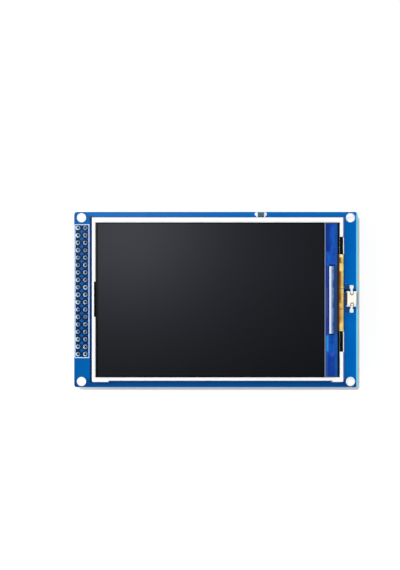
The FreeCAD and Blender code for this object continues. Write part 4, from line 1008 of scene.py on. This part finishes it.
# Print outlines round the parts on the back
along, across = CHIP_MARGIN
half = (CHIP_LEADS - 1) / 2 * LEAD_PITCH + across
print_plans = [(leads_low[0] - along, leads_high[0] + along, y - half, y + half) for y in chip_middles]
along, across = PART_MARGIN
for node in ("capacitor_ends", "resistor_ends", "regulator_leads", "transistor_leads"):
    low, high = corners(node)
    print_plans += [(low[0] - along, high[0] + along, low[1] - across, high[1] + across)]
back_print = outlines(print_plans, PRINT_WIDTH, BACK - PRINT_HEIGHT, BACK)
piece("back_print", back_print, PRINT_INK)


def white_paper(level, hole):
    """Pale paper at a level that keeps the shadow and is clear when seen from below. It glows to the eye,
    most in discs under the corner holes, so that they look white. Their places differ from the given one
    in sign only."""
    material, tree, shader = new_finish("white_paper", "#dcdcdc", 0.9, Specular_IOR_Level=0.0)
    rays = add(tree, "LightPath", {}).node.outputs
    seen = add(tree, "Math", {0: rays["Is Camera Ray"], 1: rays["Is Glossy Ray"]}, operation="ADD")
    seen = add(tree, "Math", {0: seen, 1: rays["Is Transmission Ray"]}, operation="ADD", use_clamp=True)
    spot = add(tree, "VectorMath", {0: add(tree, "TexCoord", {}, out="Object")}, operation="ABSOLUTE")
    beneath = (*((hole + PATCH_SHIFT) * MM).tolist(), abs(level))
    away = add(tree, "VectorMath", {0: spot, 1: beneath}, out="Value", operation="DISTANCE")
    patch = {"From Min": LIGHT_PATCH[0] * MM, "From Max": LIGHT_PATCH[1] * MM}
    paper = add(tree, "MapRange", {"Value": away, **patch, "To Min": HOLE_GLOW, "To Max": OPEN_GLOW})
    strength = add(tree, "Math", {0: seen, 1: paper}, operation="MULTIPLY")
    glow = add(tree, "Emission", {"Strength": strength})
    total = add(tree, "AddShader", {0: shader.outputs[0], 1: glow})
    clear = add(tree, "BsdfTransparent", {})
    back_face = add(tree, "NewGeometry", {}, out="Backfacing")
    surface = add(tree, "MixShader", {0: back_face, 1: total, 2: clear})
    tree.links.new(surface, tree.nodes["Material Output"].inputs["Surface"])
    return material


def white_tent(tree):
    """Light from all round, brightest from the left, with a dark opening straight above. It is dimmer as
    light than as the background that the camera, metal and glass see."""
    direction = add(tree, "TexCoord", {}, out="Generated")
    up = add(tree, "SeparateXYZ", {0: direction}).node.outputs[2]
    opening = {"From Min": 0.66, "From Max": 0.82, "To Min": 1.0, "To Max": 0.03}
    roof = add(tree, "MapRange", {"Value": up, **opening})
    aside = add(tree, "VectorMath", {0: direction, 1: (0.85, 0.5, 0)}, out="Value", operation="DOT_PRODUCT")
    slope = {"From Min": -0.7, "From Max": 0.7, "To Min": 1.7, "To Max": 0.4}
    side = add(tree, "MapRange", {"Value": aside, **slope})
    tent = add(tree, "Math", {0: roof, 1: side}, operation="MULTIPLY")
    rays = add(tree, "LightPath", {}).node.outputs
    shiny = add(tree, "Math", {0: rays["Is Glossy Ray"], 1: rays["Is Transmission Ray"]}, operation="ADD")
    shown = add(tree, "MapRange", {"Value": shiny, "To Min": 0.3, "To Max": 1.0})
    dimmed = add(tree, "Math", {0: tent, 1: shown}, operation="MULTIPLY")
    backdrop = add(tree, "Mix", {0: rays["Is Camera Ray"], 2: dimmed, 3: 1.0})
    tree.links.new(backdrop, tree.nodes["Background"].inputs["Strength"])
    tree.nodes["Background"].inputs["Color"].default_value = (1, 1, 1, 1)


def lamp(name, kind, place, target, energy, **settings):
    """A lamp at a place in millimetres that points at a target."""
    data = bpy.data.lights.new(name, kind)
    data.energy = energy
    for setting, value in settings.items():
        setattr(data, setting, value)
    made = bpy.data.objects.new(name, data)
    bpy.context.scene.collection.objects.link(made)
    made.location = Vector(place) * MM
    made.rotation_euler = (Vector(target) - Vector(place)).to_track_quat("-Z", "Y").to_euler()
    return made


# Floor, as low as the pins' ends
floor_level = cad_bounds[0].z
floor_corners = [
    (x * FLOOR_REACH, y * FLOOR_REACH, floor_level) for x, y in ((-1, -1), (1, -1), (1, 1), (-1, 1))
]
floor_mesh = bpy.data.meshes.new("floor")
floor_mesh.from_pydata(floor_corners, [], [(0, 1, 2, 3)])
floor_mesh.materials.append(white_paper(floor_level, corner_holes[-1]))
floor = bpy.data.objects.new("floor", floor_mesh)
bpy.context.scene.collection.objects.link(floor)

# World and lamps
world = bpy.data.worlds.new("studio")
bpy.context.scene.world = world
world.use_nodes = True
white_tent(world.node_tree)
overhead = lamp("overhead", "SUN", (-96, 104, 800), (0, 0, 0), 2.4, angle=math.radians(2))
overhead.visible_glossy = False
lamp("softbox", "AREA", (-260, 10, 260), (-20, 0, 0), 0.35, shape="SQUARE", size=0.22)
# A small lamp beside the camera, whose mirror image is the soft glow at the screen's upper left
glare = lamp("glare", "AREA", (-39, 33, 300), (-30, 25, 4), 0.034, shape="DISK", size=0.04)
glare.visible_camera = False

# Camera
camera_data = bpy.data.cameras.new("camera")
camera = bpy.data.objects.new("camera", camera_data)
bpy.context.scene.collection.objects.link(camera)
centre_x = (PIXELS[0] / 2 - BOARD_CENTRE_PIXEL[0]) / PIXELS_PER_MM
centre_y = (BOARD_CENTRE_PIXEL[1] - PIXELS[1] / 2) / PIXELS_PER_MM
camera.location = Vector((centre_x, centre_y, FRONT + CAMERA_DISTANCE)) * MM
camera_data.sensor_width = SENSOR
camera_data.lens = SENSOR * CAMERA_DISTANCE * PIXELS_PER_MM / PIXELS[1]
camera_data.clip_end = 10
bpy.context.scene.camera = camera
bpy.context.scene.view_settings.view_transform = "Standard"
